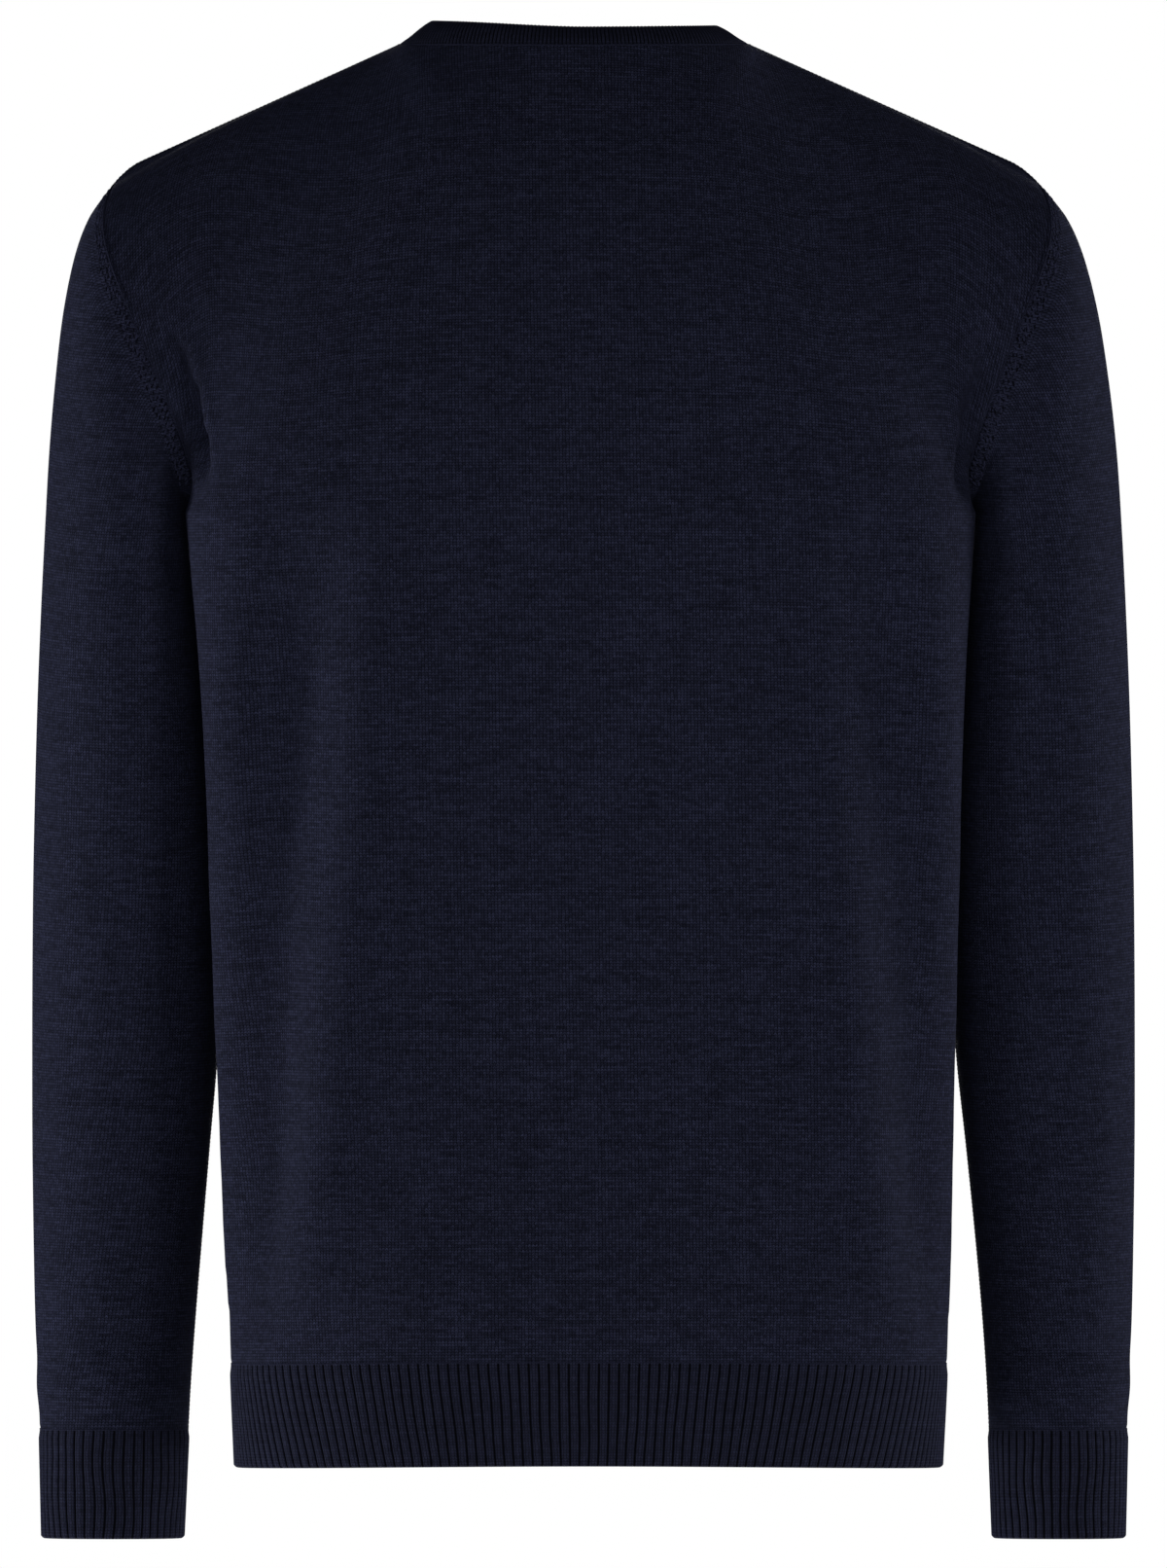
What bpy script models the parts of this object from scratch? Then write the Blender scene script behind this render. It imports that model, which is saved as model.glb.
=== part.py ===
"""A V-neck sweater of fine knitted wool, hollow and filled out as it is worn, with nobody in it.

Metres, +Z up. The front faces -Y and the wearer's left is +X. The origin is the middle of the
neck at the height where the shoulder line meets the neckband.

Every piece is one stretch of the same outer surface. Torso heights and sleeve rings come from
short tables of sizes, and each piece is lofted through them as a wall of even thickness. Where
two pieces are linked they share the surface's normals and stand SEAM_GAP apart.
"""

import math

import bpy
import numpy as np

GARMENT = "v_neck_sweater"
BACK = 1
FRONT = -1

# Cloth
WALL = 0.0016
SEAM_GAP = 0.0003

# Rib knit: broad raised wales with narrow furrows between them, over a plain inside
BACK_HEM_RIBS = 104
FRONT_HEM_RIBS = 92
CUFF_RIBS = 48
RIB_CREST_WALL = 0.0023
RIB_FURROW_WALL = 0.0011
RIB_SHOULDERS = (0.22, 0.78)
# The lower ends of the hem's ribs lean to the middle, and less so beside the side seams.
RIB_LEAN = 0.07
RIB_LEAN_POWER = 6

# Torso, from the hem's edge up to the underarm
HEM_EDGE = -0.6820
HEM_SEAM = -0.6325
UNDERARM = -0.2260
SIDE_SEAM_Y = -0.0120
BACK_HEM_LIFT = 0.0020
TORSO_COLUMNS = ("height", "half_width", "back", "front", "widest", "back_power", "front_power")
TORSO = (
    (-0.6820, 0.1690, 0.1105, -0.1075, -0.002, 2.80, 2.70),
    (-0.6325, 0.1712, 0.1125, -0.1110, 0.002, 2.75, 2.60),
    (-0.5950, 0.1722, 0.1110, -0.1125, 0.006, 2.70, 2.50),
    (-0.5400, 0.1727, 0.1060, -0.1115, 0.013, 2.65, 2.40),
    (-0.4600, 0.1755, 0.1045, -0.1120, 0.024, 2.60, 2.30),
    (-0.3800, 0.1790, 0.1080, -0.1150, 0.034, 2.60, 2.25),
    (-0.3000, 0.1830, 0.1130, -0.1190, 0.042, 2.60, 2.20),
    (-0.2260, 0.1885, 0.1165, -0.1210, 0.046, 2.60, 2.20),
)
TURN_WEIGHT = 0.060

# Shoulder line, from the neck out to the armhole
SHOULDER_TIP = 0.2220
SHOULDER_SLOPE = 0.45
SHOULDER_BEND_FROM = 0.2080
SHOULDER_BEND = 26.5
RIDGE_Y = -0.0040

# Neck: the seam and the band's open edge
NECK_COLUMNS = ("half_width", "side_height", "back", "back_height", "front", "v_height")
NECK_SEAM = (0.0840, -0.0015, 0.0550, -0.0025, -0.1165, -0.2050)
NECK_EDGE = (0.0665, 0.0080, 0.0375, 0.0065, -0.1090, -0.1520)
NECK_BACK_POWER = 2.2
CHEST_POWER = 1.9
V_EASE = 1.25
BAND_ROLL = 0.0012

# Yoke: how the panels arch from underarm height up to the shoulder line and neck
ARCH_POWER = 1.25
BACK_NECK_ARCH = math.radians(52)
FRONT_NECK_ARCH = math.radians(8)
NECK_ARCH_POWER = 0.6
FRONT_DIP = 0.085
NECK_SHARE = 0.40
CUT_REACH = 2
WIDENING_REACH = 3
BISECTIONS = 40

# Sleeves: rings fan from the armhole about the underarm and then go down to the cuff's edge.
# The first row's ends are the shoulder tip and the underarm.
SLEEVE_COLUMNS = ("outer", "outer_height", "inner", "inner_height", "middle", "half_depth")
SLEEVE = (
    (0.2220, -0.0690, 0.1831, -0.2260, -0.0080, 0.0600),
    (0.2330, -0.0828, 0.1860, -0.2264, -0.0090, 0.0605),
    (0.2410, -0.1014, 0.1862, -0.2305, -0.0095, 0.0610),
    (0.2475, -0.1290, 0.1857, -0.2385, -0.0100, 0.0610),
    (0.2520, -0.1610, 0.1847, -0.2490, -0.0110, 0.0610),
    (0.2555, -0.1960, 0.1834, -0.2630, -0.0130, 0.0605),
    (0.2578, -0.2330, 0.1818, -0.2810, -0.0165, 0.0600),
    (0.2598, -0.2720, 0.1798, -0.3040, -0.0210, 0.0590),
    (0.2615, -0.3130, 0.1775, -0.3330, -0.0270, 0.0575),
    (0.2628, -0.3560, 0.1755, -0.3660, -0.0340, 0.0555),
    (0.2638, -0.4000, 0.1745, -0.4030, -0.0415, 0.0535),
    (0.2643, -0.4440, 0.1752, -0.4440, -0.0490, 0.0512),
    (0.2645, -0.4860, 0.1772, -0.4860, -0.0560, 0.0488),
    (0.2645, -0.5270, 0.1812, -0.5270, -0.0625, 0.0463),
    (0.2641, -0.5670, 0.1850, -0.5670, -0.0685, 0.0438),
    (0.2634, -0.6070, 0.1885, -0.6070, -0.0740, 0.0412),
    (0.2622, -0.6400, 0.1909, -0.6400, -0.0785, 0.0385),
    (0.2612, -0.6650, 0.1922, -0.6650, -0.0815, 0.0362),
    (0.2600, -0.7175, 0.1945, -0.7175, -0.0865, 0.0335),
)
CUFF_SEAM_RING = 17
CUFF_EDGE_RING = 18
SLEEVE_POWER = 2.15
BACK_ARMHOLE_BOW = 0.0311
BACK_BOW_POWERS = (2.0, 2.5)
FRONT_ARMHOLE_BOW = -0.0030
UNDERARM_TILT = 0.0170
BOW_RINGS = 4

# Soft folds: troughs pressed into both halves of a panel along a line seen from straight behind
# or in front
FOLD_COLUMNS = ("side", "from_x", "from_height", "to_x", "to_height", "half_width", "depth")
FOLDS = (
    (BACK, 0.150, -0.252, 0.105, -0.180, 0.018, 0.0030),
    (BACK, 0.145, -0.330, 0.085, -0.300, 0.022, 0.0020),
    (FRONT, 0.145, -0.255, 0.105, -0.175, 0.018, 0.0030),
    (FRONT, 0.140, -0.340, 0.080, -0.300, 0.022, 0.0025),
)

# Mesh steps
ARMHOLE_STEPS = 26
TORSO_ROWS = 10
BACK_NECK_STEPS = 6
FRONT_NECK_STEPS = 8
SHOULDER_STEPS = 8
OUTLINE_STEPS = 720
MERGE_STEP = 1e-6
MERGE_OFFSET = 0.137
# Edge directions nearer alike than this count as one where a seam runs straight on.
STRAIGHT_SEAM = 0.05

NAVY = (0.0080, 0.0095, 0.0200, 1.0)
DARK_NAVY = (0.0065, 0.0075, 0.0150, 1.0)
KNIT_ROUGHNESS = 0.80
RIB_ROUGHNESS = 0.85
SHARP_EDGE = math.radians(50)


def column(names, rows, name):
    """One named column of a table."""
    return np.array([row[names.index(name)] for row in rows], float)


def smooth(places, values, at):
    """A smooth curve through values at rising places."""
    slopes = np.gradient(values, places)
    index = np.clip(np.searchsorted(places, at, side="right") - 1, 0, len(places) - 2)
    step = places[index + 1] - places[index]
    u = np.clip((at - places[index]) / step, 0, 1)
    start = (1 + 2 * u) * (1 - u) ** 2 * values[index] + u * (1 - u) ** 2 * step * slopes[index]
    end = u * u * (3 - 2 * u) * values[index + 1] + u * u * (u - 1) * step * slopes[index + 1]
    return start + end


def signed_power(value, power):
    """A power of the size of a value, with the value's sign."""
    return np.sign(value) * np.abs(value) ** power


def torso_outline(height, side):
    """The torso at one height, as a dense line from side seam to side seam round one side.

    The back's line starts at the wearer's left, the front's at the right."""
    heights = column(TORSO_COLUMNS, TORSO, "height")
    size = {name: smooth(heights, column(TORSO_COLUMNS, TORSO, name), height) for name in TORSO_COLUMNS}
    front_depth = size["widest"] - size["front"]
    back_depth = size["back"] - size["widest"]
    seam_share = (size["widest"] - SIDE_SEAM_Y) / front_depth
    seam_angle = math.asin(seam_share ** (size["front_power"] / 2))
    if side == BACK:
        angle = np.linspace(-seam_angle, math.pi + seam_angle, OUTLINE_STEPS + 1)
    else:
        angle = np.linspace(math.pi + seam_angle, 2 * math.pi - seam_angle, OUTLINE_STEPS + 1)
    behind = np.sin(angle) >= 0
    power = np.where(behind, size["back_power"], size["front_power"])
    depth = np.where(behind, back_depth, front_depth)
    x = size["half_width"] * signed_power(np.cos(angle), 2 / power)
    y = size["widest"] + depth * signed_power(np.sin(angle), 2 / power)
    return np.stack([x, y, np.full_like(x, height)], axis=1)


def along(line, shares, turn_weight=0.0):
    """Points at shares of a dense line's length, with more of them where it turns if weighted."""
    steps = np.diff(line, axis=0)
    lengths = np.linalg.norm(steps, axis=1)
    headings = steps / lengths[:, None]
    turns = np.linalg.norm(np.diff(headings, axis=0), axis=1)
    weights = lengths + turn_weight * np.concatenate([[0], turns])
    travelled = np.concatenate([[0], np.cumsum(weights)])
    wanted = np.asarray(shares) * travelled[-1]
    return np.stack([np.interp(wanted, travelled, line[:, axis]) for axis in range(3)], axis=-1)


def shoulder_point(share):
    """A point of the shoulder line, from the neck (0) to the armhole (1)."""
    half_width = NECK_SEAM[NECK_COLUMNS.index("half_width")]
    x = half_width + (SHOULDER_TIP - half_width) * share
    height = NECK_SEAM[NECK_COLUMNS.index("side_height")] - SHOULDER_SLOPE * (x - half_width)
    height -= SHOULDER_BEND * max(0.0, x - SHOULDER_BEND_FROM) ** 2
    return np.array([x, RIDGE_Y, height])


def neck_point(line, side, share):
    """A point of a neck line's left half, from the shoulder (0) to the middle (1) of one side."""
    size = dict(zip(NECK_COLUMNS, line))
    if side == BACK:
        turn = share * math.pi / 2
        x = size["half_width"] * math.cos(turn) ** (2 / NECK_BACK_POWER)
        y = RIDGE_Y + (size["back"] - RIDGE_Y) * math.sin(turn) ** (2 / NECK_BACK_POWER)
        height = size["side_height"] + (size["back_height"] - size["side_height"]) * share
        return np.array([x, y, height])
    fall = share**V_EASE
    x = size["half_width"] * (1 - fall)
    y = RIDGE_Y + (size["front"] - RIDGE_Y) * (1 - (1 - share) ** CHEST_POWER)
    height = size["side_height"] + (size["v_height"] - size["side_height"]) * fall
    return np.array([x, y, height])


def sleeve_ring(place, angles):
    """Points of the left sleeve's ring at a place in the table. Angle 0 is its outer side, and
    the back follows."""
    places = np.arange(len(SLEEVE), dtype=float)
    size = {name: smooth(places, column(SLEEVE_COLUMNS, SLEEVE, name), place) for name in SLEEVE_COLUMNS}
    outer = np.array([size["outer"], size["middle"], size["outer_height"]])
    inner = np.array([size["inner"], size["middle"], size["inner_height"]])
    ends_fade = max(0.0, 1 - place)
    outer = outer + (shoulder_point(1) - outer) * ends_fade
    inner = inner + (underarm_point() - inner) * ends_fade
    across = signed_power(np.cos(angles), 2 / SLEEVE_POWER)[:, None]
    deep = signed_power(np.sin(angles), 2 / SLEEVE_POWER)
    ring = (outer + inner) / 2 + across * (outer - inner) / 2
    ring[:, 1] += deep * size["half_depth"]
    fade = max(0.0, 1 - place / BOW_RINGS)
    deep_share = np.abs(np.sin(angles))
    high_share = (1 + np.cos(angles)) / 2
    back_bow = BACK_ARMHOLE_BOW * deep_share ** BACK_BOW_POWERS[0] * high_share ** BACK_BOW_POWERS[1]
    front_bow = FRONT_ARMHOLE_BOW * deep_share * high_share**2
    front_bow -= UNDERARM_TILT * deep_share * (1 - high_share) ** 3
    ring[:, 0] += fade * np.where(np.sin(angles) > 0, back_bow, front_bow)
    return ring


def underarm_point():
    return torso_outline(UNDERARM, BACK)[0]


def armhole_point(side, share):
    """A point of the left armhole's back or front half, from the underarm (0) up (1)."""
    angle = math.pi * (1 - share)
    return sleeve_ring(0.0, np.array([side * angle]))[0]


def top_point(side, place):
    """A panel's upper edge: place 0 is the middle, 1 where neck and shoulder meet, 2 the armhole.

    Only the left half. The right half mirrors it."""
    if place <= 1:
        return neck_point(NECK_SEAM, side, 1 - place)
    return shoulder_point(place - 1)


def mirrored(point):
    return point * np.array([-1, 1, 1])


def neck_arch(side, place):
    """How far round an arch a column goes before it reaches the panel's upper edge."""
    if place >= 1:
        return math.pi / 2
    if side == BACK:
        return BACK_NECK_ARCH + (math.pi / 2 - BACK_NECK_ARCH) * math.sin(place * math.pi / 2)
    fall = (1 - place) ** V_EASE
    return FRONT_NECK_ARCH + (math.pi / 2 - FRONT_NECK_ARCH) * (1 - fall) ** NECK_ARCH_POWER


def arched(base, top, angle, share):
    """A point of the arch from a column's base up to its top."""
    turn = angle * share
    rise = math.sin(turn) / math.sin(angle)
    lean = max(0.0, (math.cos(turn) - math.cos(angle)) / (1 - math.cos(angle)))
    lean **= 1 + (ARCH_POWER - 1) * math.sin(angle)
    point = base + (top - base) * rise
    point[1] = top[1] + (base[1] - top[1]) * lean
    return point


def base_share(place):
    """Where a column stands on the torso's outline, from the middle (0) to the side seam (1)."""
    if place <= 1:
        return NECK_SHARE * place
    return NECK_SHARE + (1 - NECK_SHARE) * (place - 1)


def place_of(share):
    """The place along a panel's upper edge of a column that stands at a share of the outline."""
    if share <= NECK_SHARE:
        return share / NECK_SHARE
    return 1 + (share - NECK_SHARE) / (1 - NECK_SHARE)


def base_height(side, share):
    """Where the yoke starts: at the underarm, and lower towards the middle of the front."""
    dip = FRONT_DIP if side == FRONT else 0.0
    return UNDERARM - dip * math.cos(share * math.pi / 2) ** 2


def hem_height(side, share):
    """The height of the hem seam, a little higher at the middle of the back."""
    lift = BACK_HEM_LIFT if side == BACK else 0.0
    return HEM_SEAM + lift * math.cos(share * math.pi / 2) ** 2


def torso_point(side, share, height):
    """A point of the torso's left half at a share from the middle (0) to the side seam (1)."""
    outline = torso_outline(height, side)
    from_left = (1 - share) / 2 if side == BACK else (1 + share) / 2
    return along(outline, [from_left], TURN_WEIGHT)[0]


def yoke_column(side, share):
    """Base, top and arch angle of the yoke's column at a share of the outline."""
    base = torso_point(side, share, base_height(side, share))
    place = place_of(share)
    return base, top_point(side, place), neck_arch(side, place)


def share_at_height(column_ends, height):
    """How far up its arch a column reaches a height."""
    base, top, angle = column_ends
    rise = min(1.0, max(0.0, (height - base[2]) / (top[2] - base[2])))
    return math.asin(rise * math.sin(angle)) / angle


def armhole_cut(side, even):
    """Where the armhole cuts the yoke on one row: share of the outline, share up the arch, and
    how far the yoke has to widen there to meet the armhole."""
    edge = armhole_point(side, even)
    low, high = NECK_SHARE, 1.0
    for _ in range(BISECTIONS):
        share = (low + high) / 2
        ends = yoke_column(side, share)
        reach = arched(*ends, share_at_height(ends, edge[2]))[1]
        if side * (reach - edge[1]) > 0:
            low = share
        else:
            high = share
    if even == 1.0:
        share = 1.0
    ends = yoke_column(side, share)
    up = share_at_height(ends, edge[2])
    return share, up, edge - arched(*ends, up)


def panel_column(side, place, cuts):
    """A column of a panel's left half, from the hem seam up."""
    share = base_share(place)
    low = hem_height(side, share)
    high = base_height(side, share)
    heights = np.linspace(low, high, TORSO_ROWS + 1)
    points = [torso_point(side, share, height) for height in heights]
    for row, (cut_share, cut_up, widening) in enumerate(cuts, 1):
        even = row / len(cuts)
        moved = share * (1 - (1 - cut_share) * share**CUT_REACH)
        up = even + (cut_up - even) * share**CUT_REACH
        point = arched(*yoke_column(side, moved), up)
        points.append(point + widening * share**WIDENING_REACH)
    return np.array(points)


def panel_grid(side, neck_steps):
    """A whole panel as rows from the hem seam up, by columns across."""
    places = np.concatenate(
        [np.linspace(0, 1, neck_steps + 1), np.linspace(1, 2, SHOULDER_STEPS + 1)[1:]]
    )
    rows = ARMHOLE_STEPS // 2
    cuts = [armhole_cut(side, row / rows) for row in range(1, rows + 1)]
    left = [panel_column(side, place, cuts) for place in places]
    right = [mirrored(points) for points in left[1:]]
    columns = left[::-1] + right if side == BACK else right[::-1] + left
    return np.stack(columns, axis=1)


def sleeve_grid():
    """The left sleeve as rings from the armhole down to the cuff seam."""
    angles = np.arange(ARMHOLE_STEPS) * 2 * math.pi / ARMHOLE_STEPS
    return np.stack([sleeve_ring(float(place), angles) for place in range(CUFF_SEAM_RING + 1)])


def neckband_grid():
    """The neckband as rows from its seam to its open edge, by places round the neck from the V."""
    front = [1 - step / FRONT_NECK_STEPS for step in range(FRONT_NECK_STEPS)]
    back = [step / BACK_NECK_STEPS for step in range(BACK_NECK_STEPS + 1)]
    rows = []
    for line in (NECK_SEAM, NECK_EDGE):
        left = [neck_point(line, FRONT, share) for share in front]
        left += [neck_point(line, BACK, share) for share in back]
        right = [mirrored(point) for point in left[1:-1][::-1]]
        rows.append(np.array(left + right))
    seam, edge = rows
    return np.stack([seam, (seam + edge) / 2, edge])


def keyed(points):
    """Points on a fine raster set off from round sizes, so that meeting points match exactly."""
    return np.round(points / MERGE_STEP + MERGE_OFFSET).astype(int)


def wrapped(grid, closed):
    return np.concatenate([grid, grid[:, :1]], axis=1) if closed else grid


def shared_normals(grids):
    """The normals of the whole surface at each grid's points, alike where grids meet."""
    corners, normals = [], []
    for grid, closed in grids:
        ring = wrapped(grid, closed)
        quad = [ring[:-1, :-1], ring[:-1, 1:], ring[1:, 1:], ring[1:, :-1]]
        quad = [corner.reshape(-1, 3) for corner in quad]
        for index, corner in enumerate(quad):
            after = quad[(index + 1) % 4] - corner
            before = quad[index - 1] - corner
            normal = np.cross(after, before)
            sine = np.linalg.norm(normal, axis=1)
            angle = np.arctan2(sine, (after * before).sum(axis=1))
            corners.append(corner)
            normals.append(normal * (angle / sine)[:, None])
    keys, index = np.unique(keyed(np.concatenate(corners)), axis=0, return_inverse=True)
    sums = np.zeros(keys.shape)
    np.add.at(sums, index.reshape(-1), np.concatenate(normals))
    sums /= np.linalg.norm(sums, axis=1)[:, None]
    found = {tuple(key): normal for key, normal in zip(keys, sums)}
    return [
        np.array([[found[tuple(key)] for key in row] for row in keyed(grid)])
        for grid, _ in grids
    ]


def pressed(grid, normals, side):
    """The grid with the panel's soft folds pressed in."""
    result = grid.copy()
    for row in FOLDS:
        fold = dict(zip(FOLD_COLUMNS, row))
        if fold["side"] != side:
            continue
        start = np.array([fold["from_x"], fold["from_height"]])
        run = np.array([fold["to_x"], fold["to_height"]]) - start
        flat = np.stack([np.abs(grid[:, :, 0]), grid[:, :, 2]], axis=-1) - start
        share = flat @ run / (run @ run)
        nearest = np.clip(share, 0, 1)[..., None] * run
        distance = np.linalg.norm(flat - nearest, axis=-1)
        depth = fold["depth"] * np.exp(-((distance / fold["half_width"]) ** 2))
        result -= normals * depth[..., None]
    for edge in ((0, slice(None)), (-1, slice(None)), (slice(None), 0), (slice(None), -1)):
        result[edge] = grid[edge]
    return result


def seam_pull(grid, closed, free_edges=()):
    """How far each point moves so that the piece ends half a seam gap short of its seams."""
    ring = wrapped(grid, closed)
    rows, columns = ring.shape[:2]
    edges = {
        "first_row": [((0, i), (0, i + 1), (1, i), (1, i + 1)) for i in range(columns - 1)],
        "last_row": [((-1, i), (-1, i + 1), (-2, i), (-2, i + 1)) for i in range(columns - 1)],
    }
    if not closed:
        edges["sides"] = [((j, 0), (j + 1, 0), (j, 1), (j + 1, 1)) for j in range(rows - 1)]
        edges["sides"] += [((j, -1), (j + 1, -1), (j, -2), (j + 1, -2)) for j in range(rows - 1)]
    wanted = {}
    for name, segments in edges.items():
        gap = 0.0 if name in free_edges else SEAM_GAP / 2
        for a, b, inside_a, inside_b in segments:
            run = ring[b] - ring[a]
            run /= np.linalg.norm(run)
            inward = (ring[inside_a] + ring[inside_b] - ring[a] - ring[b]) / 2
            inward -= run * (inward @ run)
            inward /= np.linalg.norm(inward)
            for place in (a, b):
                key = (place[0] % rows, place[1] % (columns - 1 if closed else columns))
                wanted.setdefault(key, []).append((inward, gap))
    pull = np.zeros_like(grid)
    for key, pairs in wanted.items():
        directions = np.array([direction for direction, _ in pairs])
        gaps = np.array([gap for _, gap in pairs])
        pull[key] = np.linalg.lstsq(directions, gaps, rcond=STRAIGHT_SEAM)[0]
    return pull


def add_mesh(name, points, faces, colour, roughness):
    """One closed wall of cloth as an object with its own material, held at the wearer's neck."""
    mesh = bpy.data.meshes.new(name)
    mesh.from_pydata([tuple(point) for point in points], [], faces)
    mesh.validate()
    mesh.shade_smooth()
    mesh.set_sharp_from_angle(angle=SHARP_EDGE)
    mesh.materials.append(knit_material(name + "_knit", colour, roughness))
    piece = bpy.data.objects.new(name, mesh)
    bpy.data.collections[GARMENT].objects.link(piece)
    piece.parent = bpy.data.objects["wearer_hold"]


def knit_material(name, colour, roughness):
    material = bpy.data.materials.new(name)
    material.use_nodes = True
    shader = material.node_tree.nodes["Principled BSDF"]
    shader.inputs["Base Color"].default_value = colour
    shader.inputs["Roughness"].default_value = roughness
    shader.inputs["Metallic"].default_value = 0.0
    material.diffuse_color = colour
    return material


def halved(spots, quad):
    """A four-sided face as two triangles, folded along its shorter diagonal. Both sides of a wall,
    and the rims of two pieces that meet, then fold alike and never cross."""
    a, b, c, d = quad
    if np.linalg.norm(spots[a] - spots[c]) < np.linalg.norm(spots[b] - spots[d]):
        return [[a, b, c], [a, c, d]]
    return [[a, b, d], [b, c, d]]


def add_wall(name, grid, normals, closed, free_edges=()):
    """A piece of plain cloth: the grid, a wall's thickness behind it, and the rim between."""
    outer = grid + seam_pull(grid, closed, free_edges)
    inner = outer - normals * WALL
    rows, columns = grid.shape[:2]
    count = rows * columns
    last = columns if closed else columns - 1

    def at(row, col):
        return row * columns + col % columns

    spots = np.concatenate([grid.reshape(-1, 3), (grid - normals * WALL).reshape(-1, 3)])
    faces = []
    for row in range(rows - 1):
        for col in range(last):
            quad = [at(row, col), at(row, col + 1), at(row + 1, col + 1), at(row + 1, col)]
            for half in halved(spots, quad):
                faces.append(half)
                faces.append([index + count for index in reversed(half)])
    rims = [(at(0, col + 1), at(0, col)) for col in range(last)]
    rims += [(at(rows - 1, col), at(rows - 1, col + 1)) for col in range(last)]
    if not closed:
        rims += [(at(row, 0), at(row + 1, 0)) for row in range(rows - 1)]
        rims += [(at(row + 1, columns - 1), at(row, columns - 1)) for row in range(rows - 1)]
    for a, b in rims:
        faces += halved(spots, [a, b, b + count, a + count])
    points = np.concatenate([outer.reshape(-1, 3), inner.reshape(-1, 3)])
    add_mesh(name, points, faces, NAVY, KNIT_ROUGHNESS)


def add_ribs(name, lines, closed, ribs, flip=False):
    """A ribbed band between two dense lines, the seam's and the free edge's.

    Each line is a function from a share of its length to a point and an outward normal."""
    shoulders = [0.0, *RIB_SHOULDERS]
    walls = [RIB_FURROW_WALL, RIB_CREST_WALL, RIB_CREST_WALL]
    outer_shares = [(rib + place) / ribs for rib in range(ribs) for place in shoulders]
    outer_walls = walls * ribs
    inner_shares = [rib / ribs for rib in range(ribs)]
    if not closed:
        outer_shares.append(1.0)
        outer_walls.append(RIB_FURROW_WALL)
        inner_shares.append(1.0)
    points = []
    for line in lines:
        surface, normals = line(np.array(outer_shares))
        inside = surface - normals * WALL
        points.append(inside + normals * np.array(outer_walls)[:, None])
    for line in lines:
        surface, normals = line(np.array(inner_shares))
        points.append(surface - normals * WALL)
    wide = len(outer_shares)
    narrow = len(inner_shares)
    low = wide
    inside = 2 * wide
    inside_low = inside + narrow
    faces = []
    for col in range(wide if closed else wide - 1):
        after = (col + 1) % wide
        faces.append([col, low + col, low + after, after])
    for rib in range(ribs):
        after = (rib + 1) % narrow
        faces.append([inside + rib, inside + after, inside_low + after, inside_low + rib])
        crest = [(3 * rib + step) % wide for step in range(4)]
        faces.append([*crest, inside + after, inside + rib])
        faces.append([inside_low + rib, inside_low + after, *[low + step for step in crest[::-1]]])
    if not closed:
        faces.append([0, inside, inside_low, low])
        faces.append([wide - 1, low + wide - 1, inside_low + narrow - 1, inside + narrow - 1])
    if flip:
        faces = [face[::-1] for face in faces]
    add_mesh(name, np.concatenate(points), faces, DARK_NAVY, RIB_ROUGHNESS)


def level_normals(line, points):
    """Level outward normals at points of a dense level line that runs anticlockwise."""
    middle = (line[:-1] + line[1:]) / 2
    headings = np.diff(line, axis=0)
    headings /= np.linalg.norm(headings, axis=1)[:, None]
    nearest = [np.argmin(((middle - point) ** 2).sum(axis=1)) for point in points]
    normals = np.stack([headings[nearest, 1], -headings[nearest, 0], np.zeros(len(points))], axis=1)
    return normals


def hem_line(side, height, lean):
    """A line of a hem band, which starts and ends half a seam gap from the side seams."""
    outline = torso_outline(height, side)
    length = np.linalg.norm(np.diff(outline, axis=0), axis=1).sum()
    margin = SEAM_GAP / 2 / length
    lift = BACK_HEM_LIFT if side == BACK else 0.0

    def line(shares):
        centred = 2 * (margin + shares * (1 - 2 * margin)) - 1
        leaned = centred * (1 - lean * (1 - np.abs(centred) ** RIB_LEAN_POWER))
        points = along(outline, (leaned + 1) / 2)
        normals = level_normals(outline, points)
        points[:, 2] += lift * np.cos(leaned * math.pi / 2) ** 2
        return points, normals

    return line


def cuff_line(place, drop=0.0):
    """A line round the left cuff at a place in the sleeve table."""
    dense = sleeve_ring(place, np.linspace(0, 2 * math.pi, OUTLINE_STEPS + 1))

    def line(shares):
        points = along(dense, shares)
        normals = level_normals(dense, points)
        points[:, 2] -= drop
        return points, normals

    return line


def mirrored_line(line):
    def other(shares):
        points, normals = line(shares)
        return mirrored(points), mirrored(normals)

    return other


def clear_scene():
    for thing in list(bpy.data.objects):
        bpy.data.objects.remove(thing, do_unlink=True)


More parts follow.
